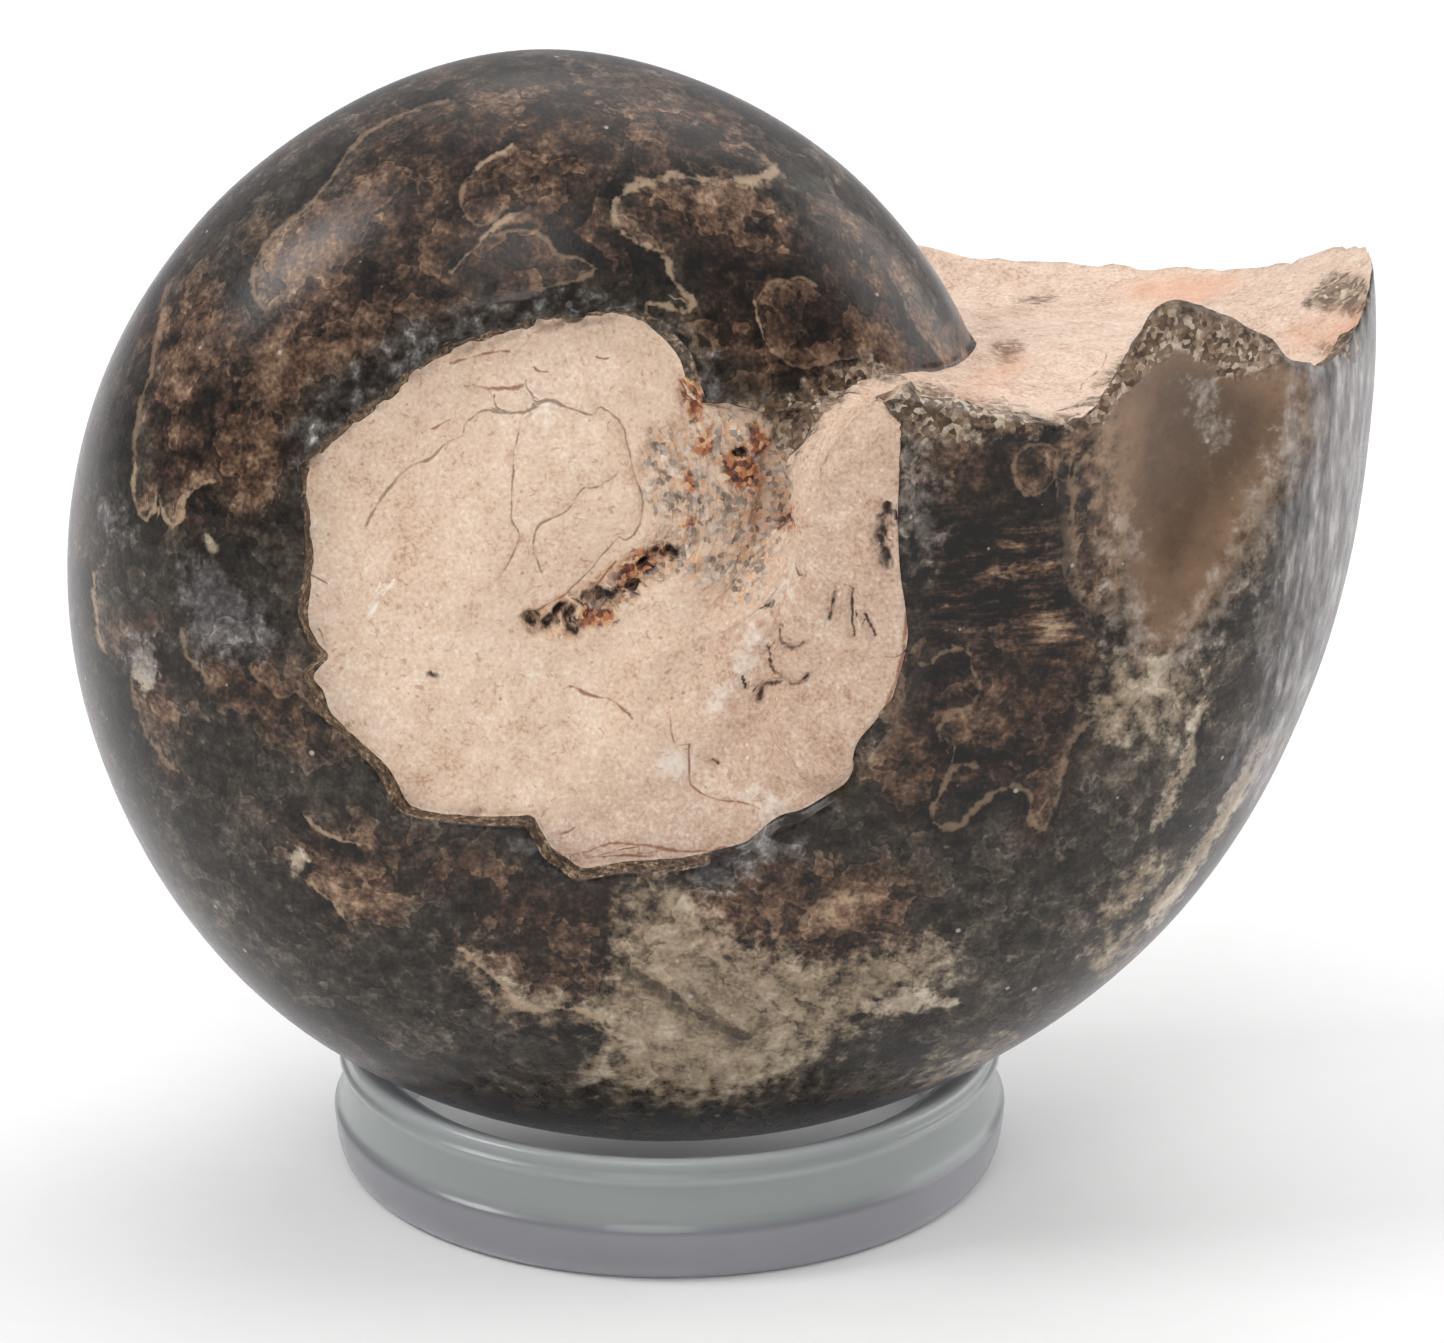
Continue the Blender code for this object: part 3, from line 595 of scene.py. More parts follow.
# How each marked area is painted: the pattern that shades it, the pattern that frays its edge
# and by how many mm, how soft the edge is in mm, its strength, and its colours from the
# pattern's dark places to its pale ones. First the polished shell's, then those that lie over
# raw stone and broken edges too, then the limestone's
CRUST_COLOURS = {0.28: "#3a2d24", 0.40: "#5e4b3b", 0.50: "#7b6653", 0.60: "#9c8670", 0.72: "#cdbda9"}
AREA_PAINTS = {
    "browns": ("tone", "lobe", 12.0, 2.2, 0.95, {
        0.36: "#0f0b08", 0.44: "#261b14", 0.50: "#422f24", 0.56: "#614939", 0.63: "#856953",
        0.72: "#b0957a"}),
    "tans": ("tone", "clump", 8.0, 1.6, 0.78, {
        0.35: "#52453a", 0.43: "#7d6b57", 0.49: "#9a8770", 0.56: "#b19e85", 0.68: "#d0c2ab"}),
    "hollow": ("inward", "clump", 6.0, 2.4, 0.85, {0.0: "#b4967a", 0.45: "#8f725a", 1.0: "#65503f"}),
    "creams": ("tone", "clump", 2.0, 0.3, 0.85, {0.38: "#8b7b68", 0.50: "#b5a48e", 0.66: "#dccfbc"}),
    "flakes": ("tone", "clump", 6.0, 0.9, 0.7, {
        0.38: "#2a2725", 0.48: "#4f4c4b", 0.57: "#757373", 0.66: "#a9aaab"}),
    "film": ("tone", "clump", 9.0, 1.2, 0.55, {0.38: "#5d554d", 0.50: "#8b8279", 0.66: "#c3bab0"}),
    # The milky band is a painted reflection along the shell's right edge
    "milky_painted_reflection": ("falls", "falls", 7.0, 2.6, 0.7, {
        0.34: "#6d6768", 0.45: "#8f898a", 0.56: "#a9a4a4", 0.66: "#cdc8c5"}),
    "shiny": ("clump", "clump", 2.4, 0.5, 0.75, {
        0.36: "#1b1714", 0.48: "#342e2a", 0.57: "#55504b", 0.65: "#7f7b76", 0.74: "#cfcfcc"}),
    "trough": ("grain", "mottle", 4.0, 0.6, 0.6, {
        0.28: "#573526", 0.40: "#a6714e", 0.52: "#d6a67e", 0.70: "#efcfab"}),
    "crystals": ("grain", "mottle", 5.0, 0.8, 0.85, {
        0.26: "#67564c", 0.36: "#9f9187", 0.43: "#bcaca0", 0.48: "#dac0a7", 0.53: "#e3b993",
        0.58: "#c99b78", 0.63: "#d6c4b4", 0.74: "#ead5bf"}),
    "crust": ("grain", "mottle", 4.0, 0.6, 0.9, CRUST_COLOURS),
    "rust": ("grain", "mottle", 4.0, 0.4, 0.9, {
        0.28: "#3a1812", 0.40: "#7c3d28", 0.50: "#a9623a", 0.60: "#c58455", 0.70: "#dfae80"}),
    "patches": ("grain", "mottle", 3.0, 0.4, 0.85, CRUST_COLOURS),
    # Redder limestone right of the fold, its darker tones painted shade of the fold
    "flushed_and_shaded": ("tone", "cloud", 12.0, 4.0, 0.7, {
        0.34: "#926d58", 0.45: "#b4937e", 0.54: "#c7aa95", 0.66: "#dfcab8"}),
    "scuffs": ("tone", "mottle", 5.0, 0.8, 0.7, {0.0: "#efe3d6", 1.0: "#efe3d6"}),
    "streaks": ("mottle", "cloud", 6.0, 1.6, 0.6, {0.0: "#cf8a66", 1.0: "#e2b090"}),
}

# How strong each kind of line is, and its colour. The lines waver in waves of a length in mm
# by so many half widths
LINE_PAINTS = {"faint_lines": (0.55, "#977d65"), "bright_lines": (0.7, "#b59b80"),
               "clefts": (0.7, "#3a3129"), "cracks": (0.75, "#786251"), "scratches": (0.9, "#fbf3ea"),
               "red_cracks": (0.8, "#8c4a35"), "black_marks": (0.95, "#2c1a15"), "pits": (0.95, "#241714")}
LINE_WAVES = 0.8
LINE_SWAY = 1.6

# Colours between the markings, from the dark places of each stone's pattern to the pale ones,
# and how much darker than its patterns the shell is
SHELL_TONE = -0.047
SHELL_COLOURS = {0.36: "#15110d", 0.46: "#2c261f", 0.54: "#453d34", 0.62: "#695f53", 0.70: "#8f8575"}
NAVEL_COLOURS = {0.34: "#c3997f", 0.45: "#dfc1a8", 0.54: "#e9cfb8", 0.66: "#f7e8d8"}
MOUTH_COLOURS = {0.34: "#a98873", 0.45: "#d2b5a1", 0.54: "#dfc7b4", 0.66: "#ecdccf"}
CHIPPED_COLOURS = {0.38: "#1e1713", 0.47: "#453629", 0.55: "#77624d", 0.68: "#c4b098"}

# Grains of all sizes in the stone, and the shell's pale specks, which are painted glints: how far
# apart, the share of places left empty, the largest radius, how soft, how strong and their colour. Lengths
# are mm
SHELL_GLINT_SPECKS = (1.9, 0.6, 0.13, 0.05, 0.8, "#b3aca4")
BROWN_GRAINS = (0.8, 0.7, 0.216, 0.08, 0.45, "#7f5240")
PALE_GRAINS = (0.7, 0.7, 0.252, 0.08, 0.45, "#f7ece0")

# Crystals over the raw stone: how far apart they lie and how far they are bent, in mm
CRYSTAL_SPACING = 0.40
CRYSTAL_BEND = 0.1

# Colours up the ring, from the table to a height in mm, with a painted dark shade line along the foot's edge
# and painted highlight lines near the top
RING_COLOURS_HIGH = 10.0
RING_COLOURS_AND_PAINTED_LIGHT = {0.0: "#c8c6cf", 0.37: "#c3c3cb", 0.42: "#a3a5aa", 0.47: "#ccd5d1", 0.74: "#cad2ce",
                0.78: "#f6f9f9", 0.82: "#c6cdca", 0.88: "#ccd3d1", 0.93: "#f4f7f7", 1.0: "#f4f7f7"}

# Fine outline of the ring's wall, in mm: the solid model's, with its cove and edges rounded
RING_OUTLINE = (
    (21.55, 8.2), (22.4, 8.75), (23.3, 9.15), (24.0, 9.38), (24.25, 9.36), (24.48, 9.22), (24.58, 9.0),
    (24.6, 8.7), (24.6, 8.45), (24.7, 8.35), (24.85, 8.25), (24.94, 8.08), (24.95, 7.92), (24.9, 7.8),
    (24.8, 7.66), (24.72, 7.4), (24.7, 7.0), (24.7, 6.5), (24.71, 6.0), (24.74, 5.5), (24.82, 5.0),
    (24.94, 4.62), (25.12, 4.36), (25.28, 4.2), (25.38, 4.05), (25.4, 3.85), (25.36, 3.4), (25.3, 2.8),
    (25.2, 2.0), (25.06, 1.4), (24.86, 0.85), (24.62, 0.45), (24.4, 0.2), (24.05, 0.0), (21.35, 0.0),
    (21.12, 0.1), (21.0, 0.35), (21.0, 2.0), (21.0, 4.0), (21.0, 6.0), (21.0, 7.25), (21.08, 7.45),
    (21.25, 7.6), (21.4, 7.75))
RING_STEPS = 192

# Studio, in metres: its soft boxes with their place, size and watts, and the point that they
# face. The light of the sky rises between two heights of the view, from 0 to 1
SOFTBOXES = {"key_softbox": ((-0.70, -0.14, 0.68), 0.3, 2.7),
             "front_softbox": ((-0.1, -0.7, 0.75), 0.4, 1.7),
             "side_softbox": ((0.95, 0.35, 0.35), 0.9, 5.0),
             "overhead_softbox": ((0.1, 0.35, 0.95), 0.9, 3.2)}
LIGHT_AIM = (0.0, 0.0, 0.04)
HORIZON_UP_TO, HORIZON_LIGHT = 0.15, 0.32
OVERHEAD_FROM, OVERHEAD_LIGHT = 0.8, 0.72

# Paper floor, in mm: half its width, and how far it lies under the ring's foot
FLOOR_HALF = 1500.0
FLOOR_GAP = 0.05


def curve(at, knots):
    """Value of a soft curve through knots of (place, value)."""
    place = np.array([knot[0] for knot in knots], float)
    value = np.array([knot[1] for knot in knots], float)
    slope = np.gradient(value, place)
    at = np.clip(at, place[0], place[-1])
    i = np.clip(np.searchsorted(place, at, side="right") - 1, 0, len(place) - 2)
    span = place[i + 1] - place[i]
    t = (at - place[i]) / span
    start = (1 + 2 * t) * (1 - t) ** 2 * value[i] + t * (1 - t) ** 2 * span * slope[i]
    end = t**2 * (3 - 2 * t) * value[i + 1] - t**2 * (1 - t) * span * slope[i + 1]
    return start + end


def averaged(knots):
    """The same curve with its jags smoothed away."""
    places = np.arange(knots[0][0], knots[-1][0] + 1, EDGE_AVERAGED / 3)
    spread = np.linspace(-EDGE_AVERAGED, EDGE_AVERAGED, 7)
    return tuple((place, float(np.mean(curve(place + spread, knots)))) for place in places)


def ease(t):
    """Smooth step from 0 to 1."""
    t = np.clip(t, 0.0, 1.0)
    return t * t * (3 - 2 * t)


def half_width(bearing):
    """Half the width of the turn at a bearing."""
    growth = curve(bearing, KEEL) / curve(MOUTH_BEARING, KEEL)
    return HALF_WIDTH_AT_MOUTH * growth**WIDTH_GROWTH


def section(bearing, edge, q):
    """Radius and half width of the shell, from q = 0 at the navel's edge to 1 on the keel."""
    keel = curve(bearing, KEEL)
    first = np.arcsin((edge / keel) ** (SIDE_POWER / 2))
    turn = first + (math.pi / 2 - first) * q
    radius = keel * np.sin(turn) ** (2 / SIDE_POWER)
    return radius, half_width(bearing) * np.clip(np.cos(turn), 0, 1) ** (2 / KEEL_POWER)


def polar(radius, bearing, width):
    """Points from their distance to the axis, bearing and half width."""
    a = np.radians(bearing)
    return np.stack([radius * np.cos(a), width + 0 * a, radius * np.sin(a)], axis=-1)


def fold_bearing(radius):
    """Bearing of the fold's crest at a distance from the axis."""
    inward = np.clip(FOLD_OUTER - radius, 0.0, FOLD_OUTER) / FOLD_REACH
    return NAVEL_SEAM - FOLD_TURN * inward**FOLD_POWER


def fold_face(radius):
    """Degrees that the fold's steep face takes up at a distance from the axis."""
    return np.clip(np.degrees(FOLD_WIDTH / np.maximum(radius, 1.0)), FOLD_FACE_AT_RIM, FOLD_FACE_MOST)


def fill_at_edge(bearing, navel):
    """Half width of the fill where it meets the broken shell."""
    rise, full, fall, end = SHELL_EDGE_STEEP
    steep = ease((bearing - rise) / (full - rise)) * (1 - ease((bearing - fall) / (end - fall)))
    step = SHELL_THICKNESS * (SHELL_EDGE_WORN + (1 - SHELL_EDGE_WORN) * steep)
    return section(bearing, curve(bearing, navel), 0.0)[1] - step


def floor_points(s, along, across_mouth, navel, lip):
    """Points of one navel's fill: s from the axis to the edge, along the turn, across the seam."""
    in_seam = across_mouth > 0
    radius = NAVEL_MEAN * s + (FOLD_OUTER - NAVEL_MEAN) * s**NAVEL_BLEND
    face = fold_face(radius)
    past_fold = np.where(in_seam, across_mouth * face, face + along * (360 - face))
    bearing = fold_bearing(radius) + past_fold
    first, last = NAVEL_SEAM + FOLD_FACE_AT_RIM, NAVEL_SEAM + 360
    on_turn = first + along * (last - first)
    to_jags = ease((s - FILL_MEETS_EDGE) / (1 - FILL_MEETS_EDGE))
    level, edge = 0.0, 0.0
    for knots, share in ((averaged(navel), 1 - to_jags), (navel, to_jags)):
        high, low = fill_at_edge(last, knots), fill_at_edge(first, knots)
        across = high + (low - high) * ease(across_mouth)
        level = level + share * np.where(in_seam, across, fill_at_edge(on_turn, knots))
        across = curve(last, knots) + (curve(first, knots) - curve(last, knots)) * across_mouth
        edge = edge + share * np.where(in_seam, across, curve(on_turn, knots))
    high, low = fill_at_edge(last, navel), fill_at_edge(first, navel)
    middle = (high + low) / 2
    level = middle + (level - middle) * ease((radius - FOLD_START) / FOLD_FADE)
    width = FLOOR_DEPTH + (level - FLOOR_DEPTH) * s**FLOOR_CURVE
    width = width + (level - width) * ease((s - FLOOR_LIP) / (1 - FLOOR_LIP))
    floor = polar(NAVEL_MEAN * s + (edge - NAVEL_MEAN) * s**NAVEL_BLEND, bearing, width)
    seam_rim = side_points(0.0, along, across_mouth, navel, lip)
    to_rim = np.where(in_seam, ease((s - FLOOR_LIP) / (1 - FLOOR_LIP)), 0.0)
    return floor + (seam_rim - floor) * to_rim[..., None] * SEAM_MEETING


def side_points(q, along, across_mouth, navel, lip):
    """Points of one side of the shell and of the mouth: q from the navel's edge to the keel."""
    first, last = NAVEL_SEAM + FOLD_FACE_AT_RIM, NAVEL_SEAM + 360
    edge = curve(first + along * (last - first), navel) + SHELL_EDGE_BEVEL
    first_edge = curve(first, navel) + SHELL_EDGE_BEVEL
    last_edge = curve(last, navel) + SHELL_EDGE_BEVEL
    start = curve(section(OLDER_TURN[-1][1], first_edge, q)[0], OLDER_TURN)
    end = curve(section(MOUTH_BEARING, last_edge, q)[0], lip) + 360
    bearing = start + along * (end - start)
    radius, width = section(bearing, edge, q)
    shell = polar(radius, bearing, width)

    lip_radius, lip_width = section(end, last_edge, q)
    old_radius, old_width = section(start, first_edge, q)
    lip_point = polar(lip_radius, end, lip_width)
    old_point = polar(old_radius, start, old_width)
    inward = np.stack([MOUTH_MIDDLE - lip_radius, -lip_width], axis=-1)
    inward = inward / np.maximum(np.linalg.norm(inward, axis=-1, keepdims=True), 1.0)
    lip_back = polar(lip_radius + LIP_THICKNESS * inward[..., 0], end - LIP_BACK_DROP,
                     lip_width + LIP_THICKNESS * inward[..., 1])
    fill_bearing = np.minimum(curve(lip_radius, FILL), end - 360 - FILL_DROP)
    fill_point = polar(lip_radius + FILL_INSET * inward[..., 0], fill_bearing,
                       lip_width + FILL_INSET * inward[..., 1])
    to_back = np.clip(across_mouth / LIP_BACK_AT, 0, 1)[..., None]
    to_fill = np.clip((across_mouth - LIP_BACK_AT) / (FILL_AT - LIP_BACK_AT), 0, 1)[..., None]
    to_old = np.clip((across_mouth - FILL_AT) / (1 - FILL_AT), 0, 1)[..., None]
    mouth = (lip_point + (lip_back - lip_point) * to_back + (fill_point - lip_back) * to_fill
             + (old_point - fill_point) * to_old)
    mouth = mouth + FILL_HOLLOW * np.sin(math.pi * to_old) * polar(1.0, MOUTH_BEARING - 90, 0.0)
    return np.where((across_mouth > 0)[..., None], mouth, shell)


def ground_hollow(points):
    """Push the show side in where the hollow is ground."""
    x = points[..., 0] - HOLLOW_CENTRE[0]
    z = points[..., 2] - HOLLOW_CENTRE[1]
    lengthways = (z * math.cos(HOLLOW_LEAN) + x * math.sin(HOLLOW_LEAN)) / HOLLOW_HALF_LENGTH
    sideways = (x * math.cos(HOLLOW_LEAN) - z * math.sin(HOLLOW_LEAN)) / HOLLOW_HALF_WIDTH
    inside = np.clip(1 - lengthways**2 - sideways**2, 0, 1)
    depth = HOLLOW_DEPTH * inside**2 * ease(points[..., 1] / HOLLOW_FADE)
    return points - depth[..., None] * np.array([0.0, 1.0, 0.0])


def ring_centre():
    """Middle of the ring stand on the table, in mm."""
    low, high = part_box("ring_stand")
    return np.array([low[0] + high[0], low[1] + high[1], 0.0]) / 2 / MM


def stand_up(local):
    """Points of the coil tilted and set over the ring, from the coil's own axes."""
    x, y, z = local[..., 0], local[..., 1], local[..., 2]
    tilted = np.stack([x, y * math.cos(COIL_TILT) + z * math.sin(COIL_TILT),
                       z * math.cos(COIL_TILT) - y * math.sin(COIL_TILT)], axis=-1)
    return tilted + np.array(COIL_CENTRE) + ring_centre()


def lay_down(points):
    """Points in the coil's own axes, from where they stand: stand_up the other way round."""
    x, y, z = np.moveaxis(points - np.array(COIL_CENTRE) - ring_centre(), -1, 0)
    return np.stack([x, y * math.cos(COIL_TILT) - z * math.sin(COIL_TILT),
                     y * math.sin(COIL_TILT) + z * math.cos(COIL_TILT)], axis=-1)


def camera_axes():
    """Place of the camera, and its forward, up and right directions."""
    forward = np.array([0.0, math.cos(VIEW_DOWN), -math.sin(VIEW_DOWN)])
    up = np.array([0.0, math.sin(VIEW_DOWN), math.cos(VIEW_DOWN)])
    right = np.array([1.0, 0.0, 0.0])
    return ring_centre() + np.array(VIEW_AIM) - VIEW_DISTANCE * forward, forward, up, right


def seen_at(points):
    """Pixels of the photograph at which points appear."""
    place, forward, up, right = camera_axes()
    away = points - place
    scale = LENS_IN_PIXELS / (away @ forward)
    across, down = PHOTO_WIDE / 2 + scale * (away @ right), PHOTO_HIGH / 2 - scale * (away @ up)
    return np.stack([across, down], axis=-1)


def navel_of_show_side():
    """Bearing and distance from the axis along the broken shell edge that the photograph shows."""
    place, forward, up, right = camera_axes()
    eye = lay_down(place)
    knots = []
    for x, y in np.reshape(LIMESTONE_EDGE, (-1, 2)):
        sideways, upward = (x - PHOTO_WIDE / 2) / LENS_IN_PIXELS, (PHOTO_HIGH / 2 - y) / LENS_IN_PIXELS
        ray = lay_down(place + forward + sideways * right + upward * up) - eye
        width = HALF_WIDTH_AT_MOUTH
        for _ in range(ROUNDS_TO_SURFACE):
            hit = eye + (-width - eye[1]) / ray[1] * ray
            radius = math.hypot(hit[0], hit[2])
            bearing = math.degrees(math.atan2(hit[2], hit[0])) % 360
            bearing = bearing + 360 if bearing < NAVEL_FIRST[0] else bearing
            width = float(section(bearing, radius, 0.0)[1])
        knots.append((bearing, radius))
    kept = [NAVEL_FIRST]
    for knot in sorted(knots):
        if kept[-1][0] + NAVEL_KNOT_GAP < knot[0] < NAVEL_LAST[0] - NAVEL_KNOT_GAP:
            kept.append(knot)
    return tuple(kept + [NAVEL_LAST])


def side_grid(navel, lip, floor_rows, edge_rows, side_rows, along, across):
    """One side of the stone as rows of points, from the axis out to just short of the keel."""
    rows = [floor_points(np.full(along.shape, s / floor_rows), along, across, navel, lip)
            for s in range(1, floor_rows + 1)]
    rim = side_points(0.0, along, across, navel, lip)
    rows += [rows[-1] + (rim - rows[-1]) * t / (edge_rows + 1) for t in range(1, edge_rows + 1)]
    rows += [side_points(q / side_rows, along, across, navel, lip) for q in range(side_rows)]
    return np.array(rows)


def weave(rows, columns, first):
    """Quads between neighbouring rows of a closed grid whose points are numbered from first."""
    here = first + np.arange(columns)
    ahead = first + (np.arange(columns) + 1) % columns
    quads = []
    for row in range(rows - 1):
        a, b = here + row * columns, ahead + row * columns
        quads.append(np.stack([a, b, b + columns, a + columns], axis=-1))
    return np.concatenate(quads)


def surface_grid(rows, columns, floor_rows, edge_rows, whorl, lip, on_lip_edge):
    """Which surface each face of a side belongs to, by its row and column."""
    row, column = np.meshgrid(np.arange(rows), np.arange(columns), indexing="ij")
    in_mouth, on_lip = column >= whorl, (column >= whorl) & (column < whorl + lip)
    side = np.where(on_lip, on_lip_edge, np.where(in_mouth, CHALKY, POLISHED))
    side = np.where(on_lip & (row > NEAR_KEEL * rows), CHALKY, side)
    band = np.where(in_mouth, CHALKY, np.where(column > FLUSH_FROM * whorl, POLISHED, BROKEN))
    return np.where(row < floor_rows - 1, CHALKY, np.where(row < floor_rows + edge_rows, band, side))


def stone_mesh():
    """Points and faces of the stone, the surface of each face, and how far each point lies
    from the broken edge of its navel and from the lip."""
    columns = WHORL_COLUMNS + MOUTH_COLUMNS
    step = np.arange(columns)
    along = np.clip(step / (WHORL_COLUMNS - 1), 0, 1)
    past = [0, LIP_COLUMNS, LIP_COLUMNS + BEHIND_LIP_COLUMNS, MOUTH_COLUMNS + 1]
    across = np.interp(step - WHORL_COLUMNS + 1, past, [0, LIP_BACK_AT, FILL_AT, 1])
    navel = navel_of_show_side()
    show = side_grid(navel, LIP_SHOW_SIDE, FLOOR_ROWS, EDGE_ROWS, SIDE_ROWS, along, across)
    keel = side_points(1.0, along, across, navel, LIP_SHOW_SIDE)
    show = ground_hollow(np.concatenate([show, keel[None]])) * MIRROR
    back = side_grid(NAVEL_FAR_SIDE, LIP_FAR_SIDE, FAR_FLOOR_ROWS, FAR_EDGE_ROWS, FAR_SIDE_ROWS,
                     along[::2], across[::2])
    surface, from_edge, from_lip = [], [], []
    for grid, floor_rows, edge_rows, whorl, lip, on_lip_edge in (
            (show, FLOOR_ROWS, EDGE_ROWS, WHORL_COLUMNS - 1, LIP_COLUMNS, BROKEN),
            (back, FAR_FLOOR_ROWS, FAR_EDGE_ROWS, WHORL_COLUMNS // 2, LIP_COLUMNS // 2, CHALKY)):
        rows, grid_columns = grid.shape[:2]
        surface += surface_grid(rows - 1, grid_columns, floor_rows, edge_rows, whorl, lip,
                                on_lip_edge).ravel().tolist()
        reach = np.linalg.norm(grid - grid[floor_rows - 1], axis=-1)
        reach[:floor_rows] *= -1
        from_edge.append(reach.ravel())
        from_lip.append(np.linalg.norm(grid - grid[:, whorl][:, None], axis=-1).ravel())
    on_axis = np.array([[0.0, -FLOOR_DEPTH, 0.0], [0.0, FLOOR_DEPTH, 0.0]])
    points = np.concatenate([show.reshape(-1, 3), back.reshape(-1, 3), on_axis])
    from_edge = np.concatenate(from_edge + [[-NAVEL_MEAN, -NAVEL_MEAN]])
    from_lip = np.concatenate(from_lip + [[NAVEL_MEAN, NAVEL_MEAN]])

    half = columns // 2
    back_first, pole = show[..., 0].size, len(points) - 2
    quads = [weave(len(show), columns, 0)[:, ::-1], weave(len(back), half, back_first)]
    faces = [tuple(face) for face in np.concatenate(quads).tolist()]
    keel_first, last_back = back_first - columns, pole - half
    for j in range(half):
        k = keel_first + 2 * j
        ahead = keel_first + (2 * j + 2) % columns
        here, beside = last_back + j, last_back + (j + 1) % half
        faces += [(here, k + 1, k), (here, beside, k + 1), (beside, ahead, k + 1),
                  (back_first + (j + 1) % half, back_first + j, pole + 1)]
        surface += [POLISHED if 2 * j < WHORL_COLUMNS - 1 else CHALKY] * 3 + [CHALKY]
    faces += [((j + 1) % columns, pole, j) for j in range(columns)]
    surface += [CHALKY] * columns
    return stand_up(points), faces, surface, from_edge, from_lip


def object_from(name, points, faces):
    """A smooth mesh object from points in mm."""
    mesh = bpy.data.meshes.new(name)
    mesh.from_pydata((points * MM).tolist(), [], faces)
    mesh.shade_smooth()
    made = bpy.data.objects.new(name, mesh)
    bpy.context.scene.collection.objects.link(made)
    return made


def normals_of(mesh):
    """Direction in which a mesh faces at each of its points."""
    normals = np.empty(len(mesh.vertices) * 3)
    mesh.vertex_normals.foreach_get("vector", normals)
    return normals.reshape(-1, 3)


def lumps(points, size, seed=0.0):
    """Smooth noise from about -1 to 1 with lumps of a size in mm."""
    return np.array([noise.noise(place) for place in (points / size + seed).tolist()])


def relief(points, name):
    """Height of a named surface's lumps in mm."""
    return sum(height * lumps(points, size, seed) for size, height, seed in LUMPS[name])


def chips(points, size, seed=0.0):
    """Random steps from 0 to 1, one to each chip of a size in mm."""
    nearest = [noise.voronoi(place)[1][0] for place in (points / size + seed).tolist()]
    return np.array([noise.cell(middle * CHIP_CELLS_APART) for middle in nearest])


def smooth_outline(marks, closed):
    """Finer points on a soft curve through given points."""
    at = np.reshape(marks, (-1, 2)).astype(float)
    if closed:
        before, after, ahead = np.roll(at, 1, 0), np.roll(at, -1, 0), np.roll(at, -2, 0)
    else:
        at = np.concatenate([at[:1], at, at[-1:]])
        before, at, after, ahead = at[:-3], at[1:-2], at[2:-1], at[3:]
    slope, bend = after - before, 2 * before - 5 * at + 4 * after - ahead
    twist = 3 * at - before - 3 * after + ahead
    steps = np.arange(SMOOTHING_STEPS) / SMOOTHING_STEPS
    fine = [0.5 * (2 * at + slope * t + bend * t**2 + twist * t**3) for t in steps]
    fine = np.stack(fine, axis=1).reshape(-1, 2)
    return fine if closed else np.concatenate([fine, after[-1:]])


def to_segment(seen, start, end):
    """Vectors from places to the nearest point of a straight piece of a line."""
    run = end - start
    share = np.clip(((seen - start) @ run) / max(run @ run, TINY), 0, 1)
    return start + share[:, None] * run - seen


def near(seen, outline):
    """Which places lie within reach of an outline."""
    margin = MARK_REACH * PIXELS_PER_MM
    low, high = outline.min(axis=0) - margin, outline.max(axis=0) + margin
    return np.flatnonzero(((seen > low) & (seen < high)).all(axis=1))


def area_field(seen, areas):
    """How far inside the nearest of some areas each place is, in mm, less than 0 outside."""
    field = np.full(len(seen), -MARK_REACH)
    for area in areas:
        outline = smooth_outline(area, closed=True)
        picked = near(seen, outline)
        places = seen[picked]
        distance = np.full(len(picked), np.inf)
        inside = np.zeros(len(picked), bool)
        for start, end in zip(outline, np.roll(outline, -1, axis=0)):
            distance = np.minimum(distance, np.linalg.norm(to_segment(places, start, end), axis=1))
            straddles = (start[1] > places[:, 1]) != (end[1] > places[:, 1])
            rise = end[1] - start[1] if end[1] != start[1] else TINY
            crossing = start[0] + (places[:, 1] - start[1]) * (end[0] - start[0]) / rise
            inside ^= straddles & (places[:, 0] < crossing)
        signed = np.where(inside, distance, -distance) / PIXELS_PER_MM
        field[picked] = np.maximum(field[picked], signed)
    return field


def line_field(seen, lines):
    """Vector from each place to the nearest line, as shares of the line's half width, and
    the distance in mm. A vector stays straight between two points of a mesh, so a line
    thinner than the mesh is still drawn sharp. Then how strongly a place lies beside a
    line: 1 close on its left, -1 close on its right, 0 far off and past its ends."""
    field = np.full((len(seen), 3), NO_LINE)
    beside = np.zeros(len(seen))
    for half, *marks in lines:
        outline = smooth_outline(marks, closed=False)
        picked = near(seen, outline)
        best, side = field[picked], beside[picked]
        for start, end in zip(outline[:-1], outline[1:]):
            offset = to_segment(seen[picked], start, end) / PIXELS_PER_MM
            distance = np.linalg.norm(offset, axis=1)
            closer = distance < best[:, 2]
            best[closer, :2] = offset[closer] / half
            best[closer, 2] = distance[closer]
            run = (end - start) / max(np.linalg.norm(end - start), TINY)
            leftward = offset[:, 0] * -run[1] + offset[:, 1] * run[0]
            strength = np.exp(-(distance / GLOW_REACH) ** 2) * leftward / np.maximum(distance, GLOW_CORE)
            side[closer] = strength[closer]
        field[picked] = best
        beside[picked] = side
    return field, beside


